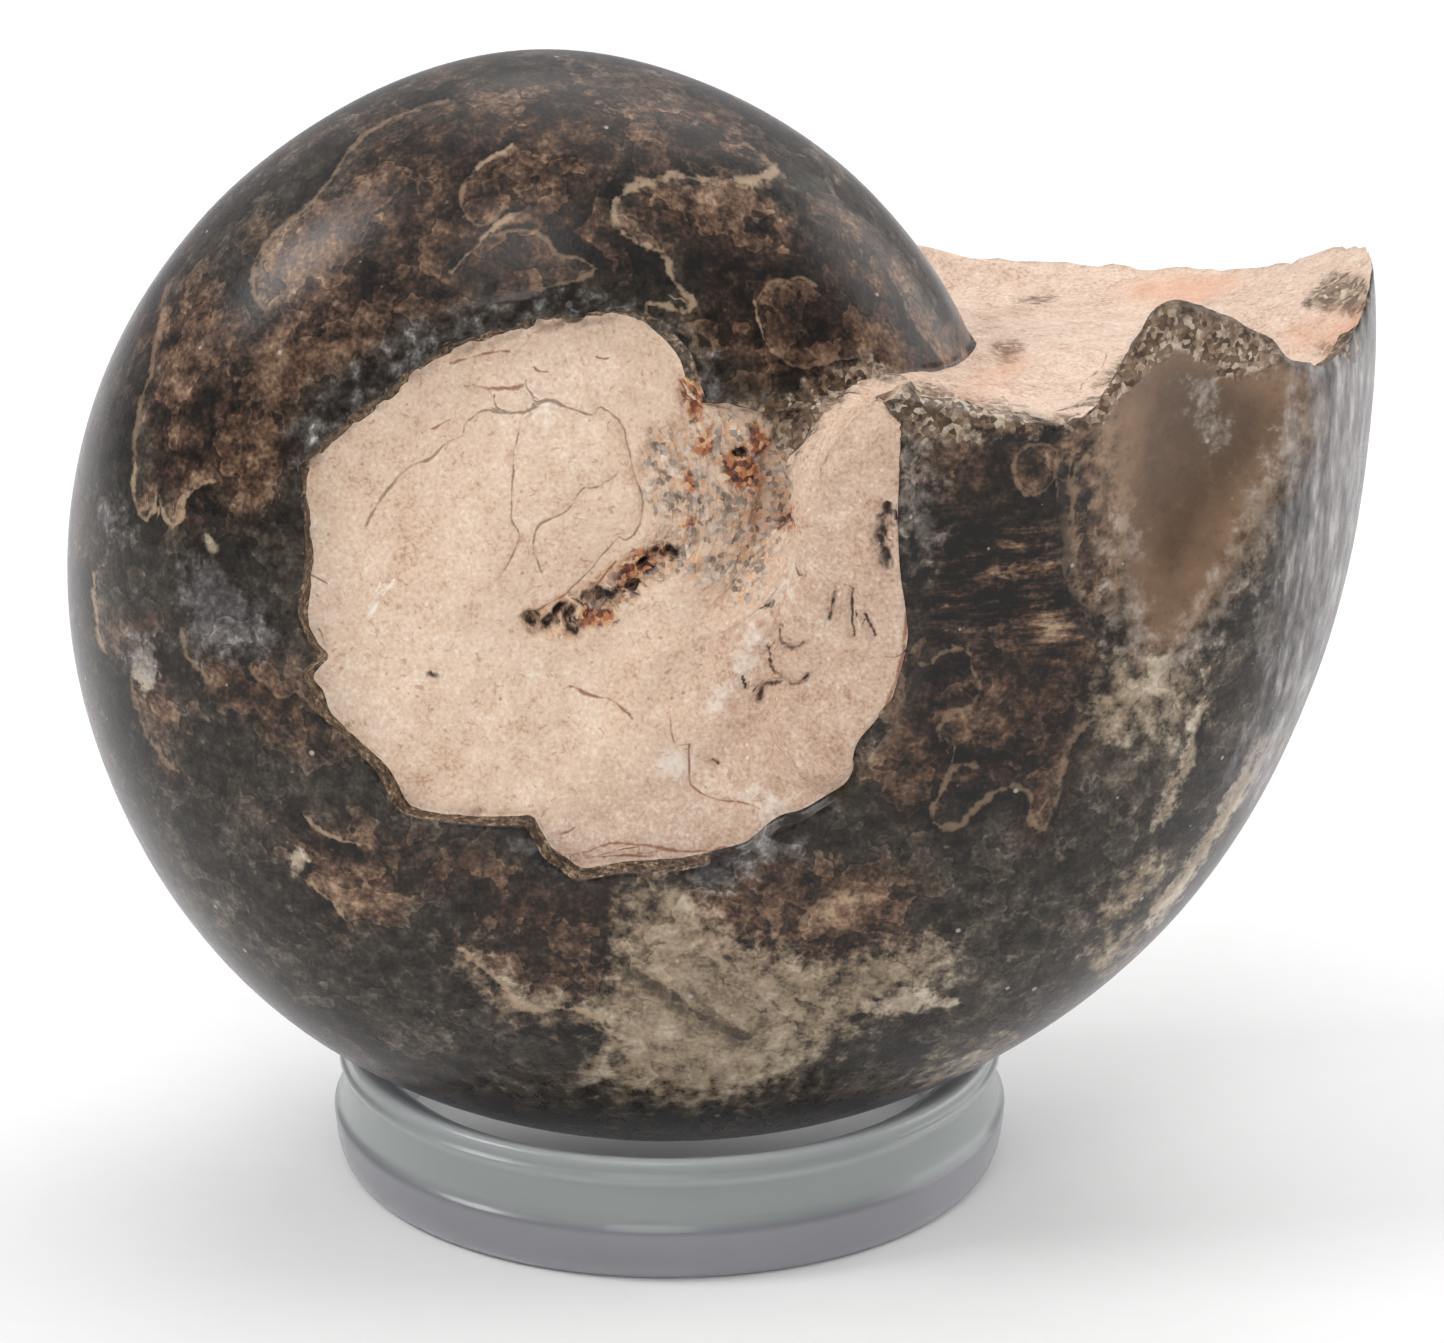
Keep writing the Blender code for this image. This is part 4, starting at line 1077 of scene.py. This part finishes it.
def carve(points, normals, seen, shown, chalky, in_mouth, from_edge, from_lip):
    """Stand the stone's relief up from its smooth form, in mm along the normals."""
    height = relief(points, "shell") * (1 - chalky) + relief(points, "limestone") * chalky
    in_navel = chalky * (1 - in_mouth)
    height += in_navel * relief(points, "navel") * ease(-from_edge / NAVEL_LUMPS_FADE)
    height += in_mouth * relief(points, "mouth")
    height += np.exp(-from_lip / LIP_LUMPS_REACH) * relief(points, "lip")

    local = lay_down(points)
    bearing = np.degrees(np.arctan2(local[:, 2], local[:, 0])) % 360
    rise, full, fall, end = MORE_CHIPPED
    more = ease((bearing - rise) / (full - rise)) * (1 - ease((bearing - fall) / (end - fall)))
    band = CHIP_BAND + MORE_CHIP_BAND * more + relief(points, "chip_band")
    in_band = ease((band - from_edge) / CHIP_BAND) * (from_edge > -CHIP_PAST_EDGE) * (1 - in_mouth)
    height -= in_band * (CHIP_DEPTH + MORE_CHIP_DEPTH * more) * (CHIP_LEAST + chips(points, CHIP_SIZE))

    def over(name):
        """Share of an area's relief at each point."""
        start, soft = RELIEF_EDGES[name]
        return shown * ease(start + area_field(seen, AREAS.get(name) or FORMS[name]) / soft)

    def along_lines(lines, half):
        """Share of the depth of lines at each point."""
        return shown * ease((half - line_field(seen, lines)[0][:, 2]) / half)

    for name, raised in RAISED.items():
        height += raised * over(name)
    for name, (depth, half) in CUT.items():
        height -= depth * along_lines(LINES[name], half)
    *pits, slot = LINES["pits"]
    height -= SLOT_DEPTH * along_lines((slot,), SLOT_HALF_WIDTH)
    for pit in pits:
        height -= PIT_DEPTH * along_lines((pit,), pit[0] * PIT_WIDER)
    chipped = SHINY_CHIP_DEPTH * chips(points, *SHINY_CHIPS)
    height += over("shiny") * (relief(points, "shiny") - chipped)
    crystals = CRYSTAL_HEIGHT * (chips(points, *CRYSTALS) - CRYSTAL_SUNK)
    height += np.maximum(over("crystals"), over("rust")) * crystals
    height += over("crust") * (CRUST_HEIGHT + relief(points, "crust"))
    across = seen @ ACROSS_RIBS / PIXELS_PER_MM
    ribs = np.sin(2 * math.pi * across / RIB_SPACING + relief(points, "ribs"))
    height += RIB_HEIGHT * ribs * over("ribs")
    return points + height[:, None] * normals


def mirrored(points):
    """The same places on the other side of the coil."""
    return stand_up(lay_down(points) * MIRROR)


def in_sight(points, normals):
    """How well the photograph's view shows each place, from 0 to 1."""
    toward = camera_axes()[0] - points
    facing = (normals * toward).sum(axis=1) / np.linalg.norm(toward, axis=1)
    return ease((facing - GRAZING) / FULL_SIGHT)


def markings(points, normals):
    """Every marking as a field over the stone's points: as listed where the photograph
    shows the stone, and elsewhere the same chamber walls mirrored and wandering."""
    seen, far = seen_at(points), mirrored(points)
    shown = in_sight(points, normals)
    far_shown = in_sight(far, normals * MIRROR) * (1 - shown)
    wander = np.stack([lumps(far, WANDER_SIZE, seed) for seed in (1.0, 2.0)], axis=-1)
    far_seen = seen_at(far) + wander * WANDER_PIXELS
    fields = {}
    for name, areas in AREAS.items():
        fields[name] = area_field(seen, areas) * shown
        if name in WANDERING_AREAS:
            size, spread, seed, bias = WANDERING_AREAS[name]
            elsewhere = spread * lumps(points, size, seed) + bias
            fields[name] += area_field(far_seen, areas) * far_shown + elsewhere * (1 - shown - far_shown)
        else:
            fields[name] -= MARK_REACH * (1 - shown)
    glow = np.zeros(len(points))
    here, there = shown > 0.5, far_shown > 0.5
    for name, lines in LINES.items():
        here_only = HOLLOW_LINES if name == "faint_lines" else ()
        line, beside = line_field(seen, lines + here_only)
        line[~here] = NO_LINE
        if name in MIRRORED_LINES:
            opposite, far_beside = line_field(far_seen, lines)
            opposite[~there] = NO_LINE
            line = np.where(here[:, None], line, opposite)
            beside = np.where(here, beside, far_beside * there)
            stronger = np.abs(beside) > np.abs(glow)
            glow[stronger] = beside[stronger]
        fields[name] = line
    fields["glow"] = glow
    return seen, shown, fields


def shade(hex_colour):
    """Linear colour from an sRGB hex value."""
    parts = [int(hex_colour[i:i + 2], 16) / 255 for i in (1, 3, 5)]
    linear = [part / 12.92 if part <= 0.04045 else ((part + 0.055) / 1.055) ** 2.4 for part in parts]
    return (*linear, 1.0)


def add_node(tree, kind, inputs=(), out=0, stops=(), **settings):
    """Add one shader node with its settings, its colour stops, and values or links for its
    sockets, and give the output that is asked for. A socket has its name or its number: in a
    MapRange 1 and 2 are the range that comes in, 3 and 4 the one that goes out, and in a Mix
    6 and 7 are the colours."""
    made = tree.nodes.new("ShaderNode" + kind)
    for name, value in settings.items():
        setattr(made, name, value)
    for number, (place, colour) in enumerate(dict(stops).items()):
        ends = made.color_ramp.elements
        stop = ends[number] if number < 2 else ends.new(place)
        stop.position = place
        stop.color = shade(colour)
    for socket, value in dict(inputs).items():
        if isinstance(value, bpy.types.NodeSocket):
            tree.links.new(value, made.inputs[socket])
        else:
            made.inputs[socket].default_value = value
    return made.outputs[out] if made.outputs else None


def new_material(name):
    """An empty material, the function that adds its nodes, and the place on the object in mm."""
    made = bpy.data.materials.new(name)
    made.use_nodes = True
    made.node_tree.nodes.clear()
    add = functools.partial(add_node, made.node_tree)
    metres = add("TexCoord", out=3)
    return made, add, add("VectorMath", {0: metres, 3: 1 / MM}, operation="SCALE")


def within(add, name, fray, fray_mm, soft_mm):
    """Cover from 0 to 1 of an area whose edge a pattern frays."""
    field = add("Attribute", out=2, attribute_name=name)
    shifted = add("Math", {0: fray, 1: -0.5}, operation="ADD")
    frayed = add("Math", {0: shifted, 1: fray_mm, 2: field}, operation="MULTIPLY_ADD")
    return add("MapRange", {0: frayed, 1: -soft_mm, 2: soft_mm}, interpolation_type="SMOOTHSTEP")


def weighed(add, tone, *parts):
    """A tone with patterns added to it, each times its share."""
    for part, share in parts:
        tone = add("Math", {0: part, 1: share, 2: tone}, operation="MULTIPLY_ADD")
    return tone


def finish_material(add, colour, roughness, height, bump_mm, **settings):
    """Join colour, roughness and fine bump in one surface shader."""
    bump = add("Bump", {"Height": height, "Distance": bump_mm * MM, "Strength": 1.0})
    shader = {"Base Color": colour, "Roughness": roughness, "Normal": bump}
    shader.update({name.replace("_", " "): value for name, value in settings.items()})
    add("OutputMaterial", {"Surface": add("BsdfPrincipled", shader)})


def paint_areas(add, colour, patterns, names):
    """Lay the pigments of some areas over a colour, one after the other."""
    for name in names:
        shaded_by, frayed_by, fray_mm, soft_mm, strength, stops = AREA_PAINTS[name]
        cover = within(add, name, patterns[frayed_by], fray_mm, soft_mm)
        cover = add("Math", {0: cover, 1: strength}, operation="MULTIPLY")
        pigment = add("ValToRGB", {0: patterns[shaded_by]}, stops=stops)
        colour = add("Mix", {0: cover, 6: colour, 7: pigment}, out=2, data_type="RGBA")
    return colour


def paint_lines(add, colour, place, gate, names):
    """Lay the pigments of some lines over a colour. The lines waver, and they thin out and
    break where the gate is low."""
    waver = add("TexNoise", {"Vector": place, "Scale": 1 / LINE_WAVES, "Detail": 2.0}, out=1)
    width = add("MapRange", {0: gate, 1: 0.40, 2: 0.62, 3: 0.6, 4: 1.5})
    faded = add("MapRange", {0: gate, 1: 0.38, 2: 0.54, 3: 0.4, 4: 1.0})
    sway = {0: waver, 1: (2 * LINE_SWAY, 2 * LINE_SWAY, 0.0), 2: (-LINE_SWAY, -LINE_SWAY, 0.0)}
    bent = add("VectorMath", sway, operation="MULTIPLY_ADD")
    for name in names:
        strength, pigment = LINE_PAINTS[name]
        offset = add("Attribute", out=1, attribute_name=name)
        across = add("VectorMath", {0: offset, 1: (1, 1, 0), 2: bent}, operation="MULTIPLY_ADD")
        across = add("VectorMath", {0: across}, out=1, operation="LENGTH")
        on_line = add("Math", {0: across, 1: width}, operation="DIVIDE")
        on_line = add("MapRange", {0: on_line, 1: 1.5, 2: 0.3, 3: 0.0, 4: strength},
                      interpolation_type="SMOOTHSTEP")
        away = add("SeparateXYZ", {0: offset}, out=2)
        close = add("MapRange", {0: away, 1: 1.0, 2: 0.6}, interpolation_type="SMOOTHSTEP")
        cover = add("Math", {0: on_line, 1: close}, operation="MULTIPLY")
        cover = add("Math", {0: cover, 1: faded}, operation="MULTIPLY")
        colour = add("Mix", {0: cover, 6: colour, 7: shade(pigment)}, out=2, data_type="RGBA")
    return colour


def scatter_grains(add, colour, place, grains):
    """Scatter round grains over a colour."""
    spacing, empty, radius, soft, strength, pigment = grains
    nearest = add("TexVoronoi", {"Vector": place, "Scale": 1 / spacing}, feature="F1")
    pick = add("SeparateColor", {0: nearest.node.outputs["Color"]}, out=0)
    reach = add("MapRange", {0: pick, 1: empty, 2: 1.0, 3: 0.0, 4: radius})
    dot = add("Math", {0: reach, 1: nearest}, operation="SUBTRACT")
    dot = add("MapRange", {0: dot, 1: 0.0, 2: soft, 3: 0.0, 4: strength})
    return add("Mix", {0: dot, 6: colour, 7: shade(pigment)}, out=2, data_type="RGBA")


def raw_marks(add, colour, mottle, place):
    """Crust, crystals and rust that lie over the raw stone and the broken edge."""
    crumble = add("TexNoise", {"Vector": place, "Scale": 1 / 0.5, "Detail": 2.0}, out=1)
    crumbled = add("VectorMath", {0: crumble, 1: (CRYSTAL_BEND,) * 3, 2: place}, operation="MULTIPLY_ADD")
    nearest = add("TexVoronoi", {"Vector": crumbled, "Scale": 1 / CRYSTAL_SPACING}, feature="F1")
    cell = add("SeparateColor", {0: nearest.node.outputs["Color"]}, out=0)
    clod = add("TexNoise", {"Vector": place, "Scale": 1 / 1.5, "Detail": 4.0, "Roughness": 0.7})
    grain = add("Mix", {0: 0.6, 2: cell, 3: clod}, data_type="FLOAT")
    patterns = {"grain": grain, "mottle": mottle}
    return paint_areas(add, colour, patterns, ("trough", "crystals", "crust", "rust", "patches"))


def polished_calcite():
    """Shell replaced by brown calcite, ground and polished: dark and glassy, with cloudy
    depth, pale chamber walls and tan stone showing through."""
    made, add, place = new_material("polished_replacement_calcite")
    drift = add("TexNoise", {"Vector": place, "Scale": 1 / 2.2, "Detail": 3.0}, out=1)
    bent = add("VectorMath", {0: drift, 1: (2.2, 2.2, 2.2), 2: place}, operation="MULTIPLY_ADD")
    level = add("VectorMath", {0: place, 1: (0.22, 0.6, 1.0)}, operation="MULTIPLY")
    falling = add("VectorMath", {0: place, 1: (1.0, 1.0, 0.28)}, operation="MULTIPLY")
    patterns = {}
    for name, at, size, detail, rough in (
            ("lobe", bent, 5.5, 3.0, 0.6), ("clump", place, 1.3, 3.0, 0.65),
            ("grain", place, 0.33, 1.0, 0.5), ("streaks", level, 0.8, 4.0, 0.65),
            ("falls", falling, 1.1, 3.0, 0.6)):
        patterns[name] = add("TexNoise", {"Vector": at, "Scale": 1 / size, "Detail": detail,
                                          "Roughness": rough})
    lobe, clump, grain, streaks = (patterns[name] for name in ("lobe", "clump", "grain", "streaks"))
    blob = add("TexVoronoi", {"Vector": bent, "Scale": 1 / 2.3, "Smoothness": 0.5}, feature="SMOOTH_F1")

    # Clouds of the calcite, with a pale and a dark line where two of them meet
    tone = weighed(add, SHELL_TONE, (lobe, 0.34), (clump, 0.44), (grain, 0.20), (blob, 0.11))
    for full, end, share in ((0.504, 0.55, 0.05), (0.496, 0.45, -0.05)):
        rise = add("MapRange", {0: lobe, 1: 0.5, 2: full}, interpolation_type="SMOOTHSTEP")
        fall = add("MapRange", {0: lobe, 1: end, 2: full})
        tone = weighed(add, tone, (add("Math", {0: rise, 1: fall}, operation="MULTIPLY"), share))
    tone = weighed(add, tone, (add("Attribute", out=2, attribute_name="glow"), 0.06))
    streaks = add("Math", {0: streaks, 1: -0.49}, operation="ADD")
    streaky = within(add, "streaky", lobe, fray_mm=9.0, soft_mm=2.4)
    streaks = add("Math", {0: streaks, 1: streaky}, operation="MULTIPLY")
    tone = weighed(add, tone, (streaks, 0.95))
    for name, fray_mm, soft_mm, share in (("darks", 5.0, 1.1, -0.06), ("oranges", 5.0, 1.2, 0.03),
                                          ("dusty", 5.0, 1.4, 0.05)):
        tone = weighed(add, tone, (within(add, name, clump, fray_mm, soft_mm), share))

    # The hollow's colour deepens with the distance from its edge
    inward = add("Attribute", out=2, attribute_name="hollow")
    inward = weighed(add, inward, (lobe, 7.0))
    patterns["inward"] = add("MapRange", {0: inward, 1: 2.4, 2: 8.0})
    patterns["tone"] = tone
    colour = add("ValToRGB", {0: tone}, stops=SHELL_COLOURS)
    # Among these, the milky band is a painted reflection along the shell's right edge
    colour = paint_areas(add, colour, patterns, ("browns", "tans", "hollow", "creams", "flakes", "film",
                                                 "milky_painted_reflection", "shiny"))
    colour = paint_lines(add, colour, place, clump, ("faint_lines", "bright_lines", "clefts"))
    colour = raw_marks(add, colour, clump, place)
    # Pale specks over the shell, painted glints
    colour = scatter_grains(add, colour, place, SHELL_GLINT_SPECKS)
    roughness = add("MapRange", {0: clump, 1: 0.3, 2: 0.7, 3: 0.24, 4: 0.38})
    for name, share in (("shiny", -0.16), ("crust", 0.35)):
        roughness = weighed(add, roughness, (within(add, name, clump, fray_mm=2.0, soft_mm=0.4), share))
    finish_material(add, colour, roughness, grain, bump_mm=0.010, IOR=1.56, Specular_Tint=shade("#b4b4b4"),
                    Sheen_Weight=0.26, Sheen_Roughness=0.35, Sheen_Tint=shade("#e6e0ea"))
    return made


def chalky_limestone():
    """Fine marly limestone, broken and left raw: matt cream-pink with brown grains, stained
    by rust in its cracks and pits."""
    made, add, place = new_material("raw_marly_limestone")
    patterns = {}
    for name, size, detail, rough, twist in (
            ("cloud", 9.0, 3.0, 0.55, 0.0), ("mottle", 1.6, 4.0, 0.65, 0.3),
            ("fine", 0.3, 2.0, 0.6, 0.0), ("flecks", 0.7, 3.0, 0.7, 0.8)):
        patterns[name] = add("TexNoise", {"Vector": place, "Scale": 1 / size, "Detail": detail,
                                          "Roughness": rough, "Distortion": twist})
    cloud, mottle, fine, flecks = patterns.values()
    patterns["tone"] = tone = weighed(add, 0.0, (mottle, 0.34), (fine, 0.42), (cloud, 0.24))
    in_navel = add("ValToRGB", {0: tone}, stops=NAVEL_COLOURS)
    in_mouth = add("ValToRGB", {0: tone}, stops=MOUTH_COLOURS)
    mouth = add("Attribute", out=2, attribute_name="mouth")
    colour = add("Mix", {0: mouth, 6: in_navel, 7: in_mouth}, out=2, data_type="RGBA")
    # Redder limestone with painted shade of the fold to its right, then pale scuffs
    colour = paint_areas(add, colour, patterns, ("flushed_and_shaded", "scuffs"))
    flecks = add("MapRange", {0: flecks, 1: 0.60, 2: 0.68, 3: 0.0, 4: 0.45})
    colour = add("Mix", {0: flecks, 6: colour, 7: shade("#a06a50")}, out=2, data_type="RGBA")
    colour = scatter_grains(add, colour, place, BROWN_GRAINS)
    colour = scatter_grains(add, colour, place, PALE_GRAINS)
    colour = raw_marks(add, colour, mottle, place)
    colour = paint_areas(add, colour, patterns, ("streaks",))
    colour = paint_lines(add, colour, place, mottle, ("cracks", "scratches", "red_cracks", "black_marks",
                                                      "pits"))
    roughness = add("MapRange", {0: mottle, 1: 0.3, 2: 0.7, 3: 0.72, 4: 0.9})
    finish_material(add, colour, roughness, fine, bump_mm=0.08, IOR=1.5)
    return made


def broken_calcite():
    """Edge of the shell where it has chipped off, left as it broke: dark, glassy and uneven,
    with cream limestone dust in it."""
    made, add, place = new_material("chipped_calcite_edge")
    mottle = add("TexNoise", {"Vector": place, "Scale": 1 / 1.2, "Detail": 4.0, "Roughness": 0.7})
    fine = add("TexNoise", {"Vector": place, "Scale": 1 / 0.35, "Detail": 2.0, "Roughness": 0.6})
    tone = weighed(add, 0.0, (mottle, 0.5), (fine, 0.5))
    colour = add("ValToRGB", {0: tone}, stops=CHIPPED_COLOURS)
    colour = raw_marks(add, colour, mottle, place)
    roughness = add("MapRange", {0: fine, 1: 0.3, 2: 0.7, 3: 0.25, 4: 0.6})
    finish_material(add, colour, roughness, fine, bump_mm=0.06, IOR=1.52)
    return made


def frosted_acrylic():
    """Cast acrylic, turned and left satin: clear grey, greener where it is thin and greyer in
    the thick foot, with painted highlight lines where its edges gather the light and a painted
    dark shade line along the foot's edge."""
    made, add, place = new_material("turned_satin_acrylic")
    fine = add("TexNoise", {"Vector": place, "Scale": 1 / 1.5, "Detail": 2.0, "Roughness": 0.6})
    height = add("SeparateXYZ", {0: place}, out=2)
    height = add("MapRange", {0: height, 1: 0.0, 2: RING_COLOURS_HIGH})
    # Colour by height, with painted highlight lines and a painted dark shade line
    colour = add("ValToRGB", {0: height}, stops=RING_COLOURS_AND_PAINTED_LIGHT)
    roughness = add("MapRange", {0: fine, 1: 0.3, 2: 0.7, 3: 0.34, 4: 0.42})
    finish_material(add, colour, roughness, fine, bump_mm=0.001, IOR=1.49, Transmission_Weight=0.7,
                    Coat_Weight=0.5, Coat_Roughness=0.15)
    return made


def make_ring_stand():
    """The ring stand, its outline turned round its axis."""
    outline = np.array(RING_OUTLINE)
    turn = np.arange(RING_STEPS) / RING_STEPS * 2 * math.pi
    radius, height = outline[:, 0][:, None], outline[:, 1][:, None]
    wall = np.stack([radius * np.cos(turn), radius * np.sin(turn), height + 0 * turn], axis=-1)
    points = wall.reshape(-1, 3) + ring_centre()
    quads = weave(len(outline) + 1, RING_STEPS, 0)[:, ::-1] % len(points)
    ring = object_from("turned_ring_stand", points, quads.tolist())
    ring.data.materials.append(frosted_acrylic())
    return ring


def make_stone():
    """The ammonite with its relief, its three materials and the fields of its markings."""
    points, faces, surface, from_edge, from_lip = stone_mesh()
    stone = object_from("polished_ammonite", points, faces)
    mesh = stone.data
    mesh.polygons.foreach_set("material_index", surface)
    for build in (polished_calcite, chalky_limestone, broken_calcite):
        mesh.materials.append(build())
    normals = normals_of(mesh)
    seen, shown, fields = markings(points, normals)
    chalky = np.zeros(len(points))
    for face, kind in zip(faces, surface):
        if kind == CHALKY:
            chalky[list(face)] = 1.0
    in_mouth = chalky * (from_edge > MOUTH_PAST_EDGE)
    carved = carve(points, normals, seen, shown, chalky, in_mouth, from_edge, from_lip)
    mesh.vertices.foreach_set("co", (carved * MM).ravel())
    mesh.update()
    fields["mouth"] = in_mouth
    for name, field in fields.items():
        kind, key = ("FLOAT_VECTOR", "vector") if field.ndim > 1 else ("FLOAT", "value")
        layer = mesh.attributes.new(name, kind, "POINT")
        layer.data.foreach_set(key, field.astype(np.float32).ravel())
    return stone


def set_up(name, made, place, direction):
    """Stand a lamp or camera at a place in metres and turn it in a direction."""
    holder = bpy.data.objects.new(name, made)
    holder.location = place
    holder.rotation_euler = Vector(direction).to_track_quat("-Z", "Y").to_euler()
    bpy.context.scene.collection.objects.link(holder)
    return holder


def make_camera():
    """The camera, where the photograph was taken from."""
    place, forward = camera_axes()[:2]
    lens = bpy.data.cameras.new("photograph_view")
    lens.sensor_width = SENSOR_WIDTH
    lens.lens = SENSOR_WIDTH * LENS_IN_PIXELS / PHOTO_WIDE
    bpy.context.scene.camera = set_up("photograph_view", lens, place * MM, forward)


def make_studio():
    """White sweep with a dim horizon, and soft boxes above, so the polish keeps its depth."""
    world = bpy.data.worlds.new("white_studio")
    bpy.context.scene.world = world
    bpy.context.scene.view_settings.view_transform = "Standard"
    world.use_nodes = True
    world.node_tree.nodes.clear()
    add = functools.partial(add_node, world.node_tree)
    height = add("SeparateXYZ", {0: add("TexCoord", out=0)}, out=2)
    strength = add("MapRange", {0: height, 1: HORIZON_UP_TO, 2: OVERHEAD_FROM, 3: HORIZON_LIGHT,
                                4: OVERHEAD_LIGHT}, interpolation_type="SMOOTHSTEP")
    light = add("Background", {"Color": shade("#ffffff"), "Strength": strength})
    add("OutputWorld", {"Surface": light})
    for name, (place, size, watts) in SOFTBOXES.items():
        lamp = bpy.data.lights.new(name, "AREA")
        lamp.size = size
        lamp.energy = watts
        set_up(name, lamp, place, Vector(LIGHT_AIM) - Vector(place))
    corners = [(-1, -1), (1, -1), (1, 1), (-1, 1)]
    floor = np.array([(x * FLOOR_HALF, y * FLOOR_HALF, -FLOOR_GAP) for x, y in corners])
    floor = object_from("studio_floor", floor, [(0, 1, 2, 3)])
    paper, add, place = new_material("matt_white_paper")
    grain = add("TexNoise", {"Vector": place, "Scale": 1 / 3.0})
    colour = add("Mix", {0: grain, 6: shade("#f4f4f4"), 7: shade("#f7f7f7")}, out=2, data_type="RGBA")
    finish_material(add, colour, 0.9, grain, bump_mm=0.001, IOR=1.45)
    floor.data.materials.append(paper)


make_camera()
make_studio()
stone = make_stone()
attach(stone, "root")
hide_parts("ammonite")
ring = make_ring_stand()
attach(ring, "root")
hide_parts("ring_stand")
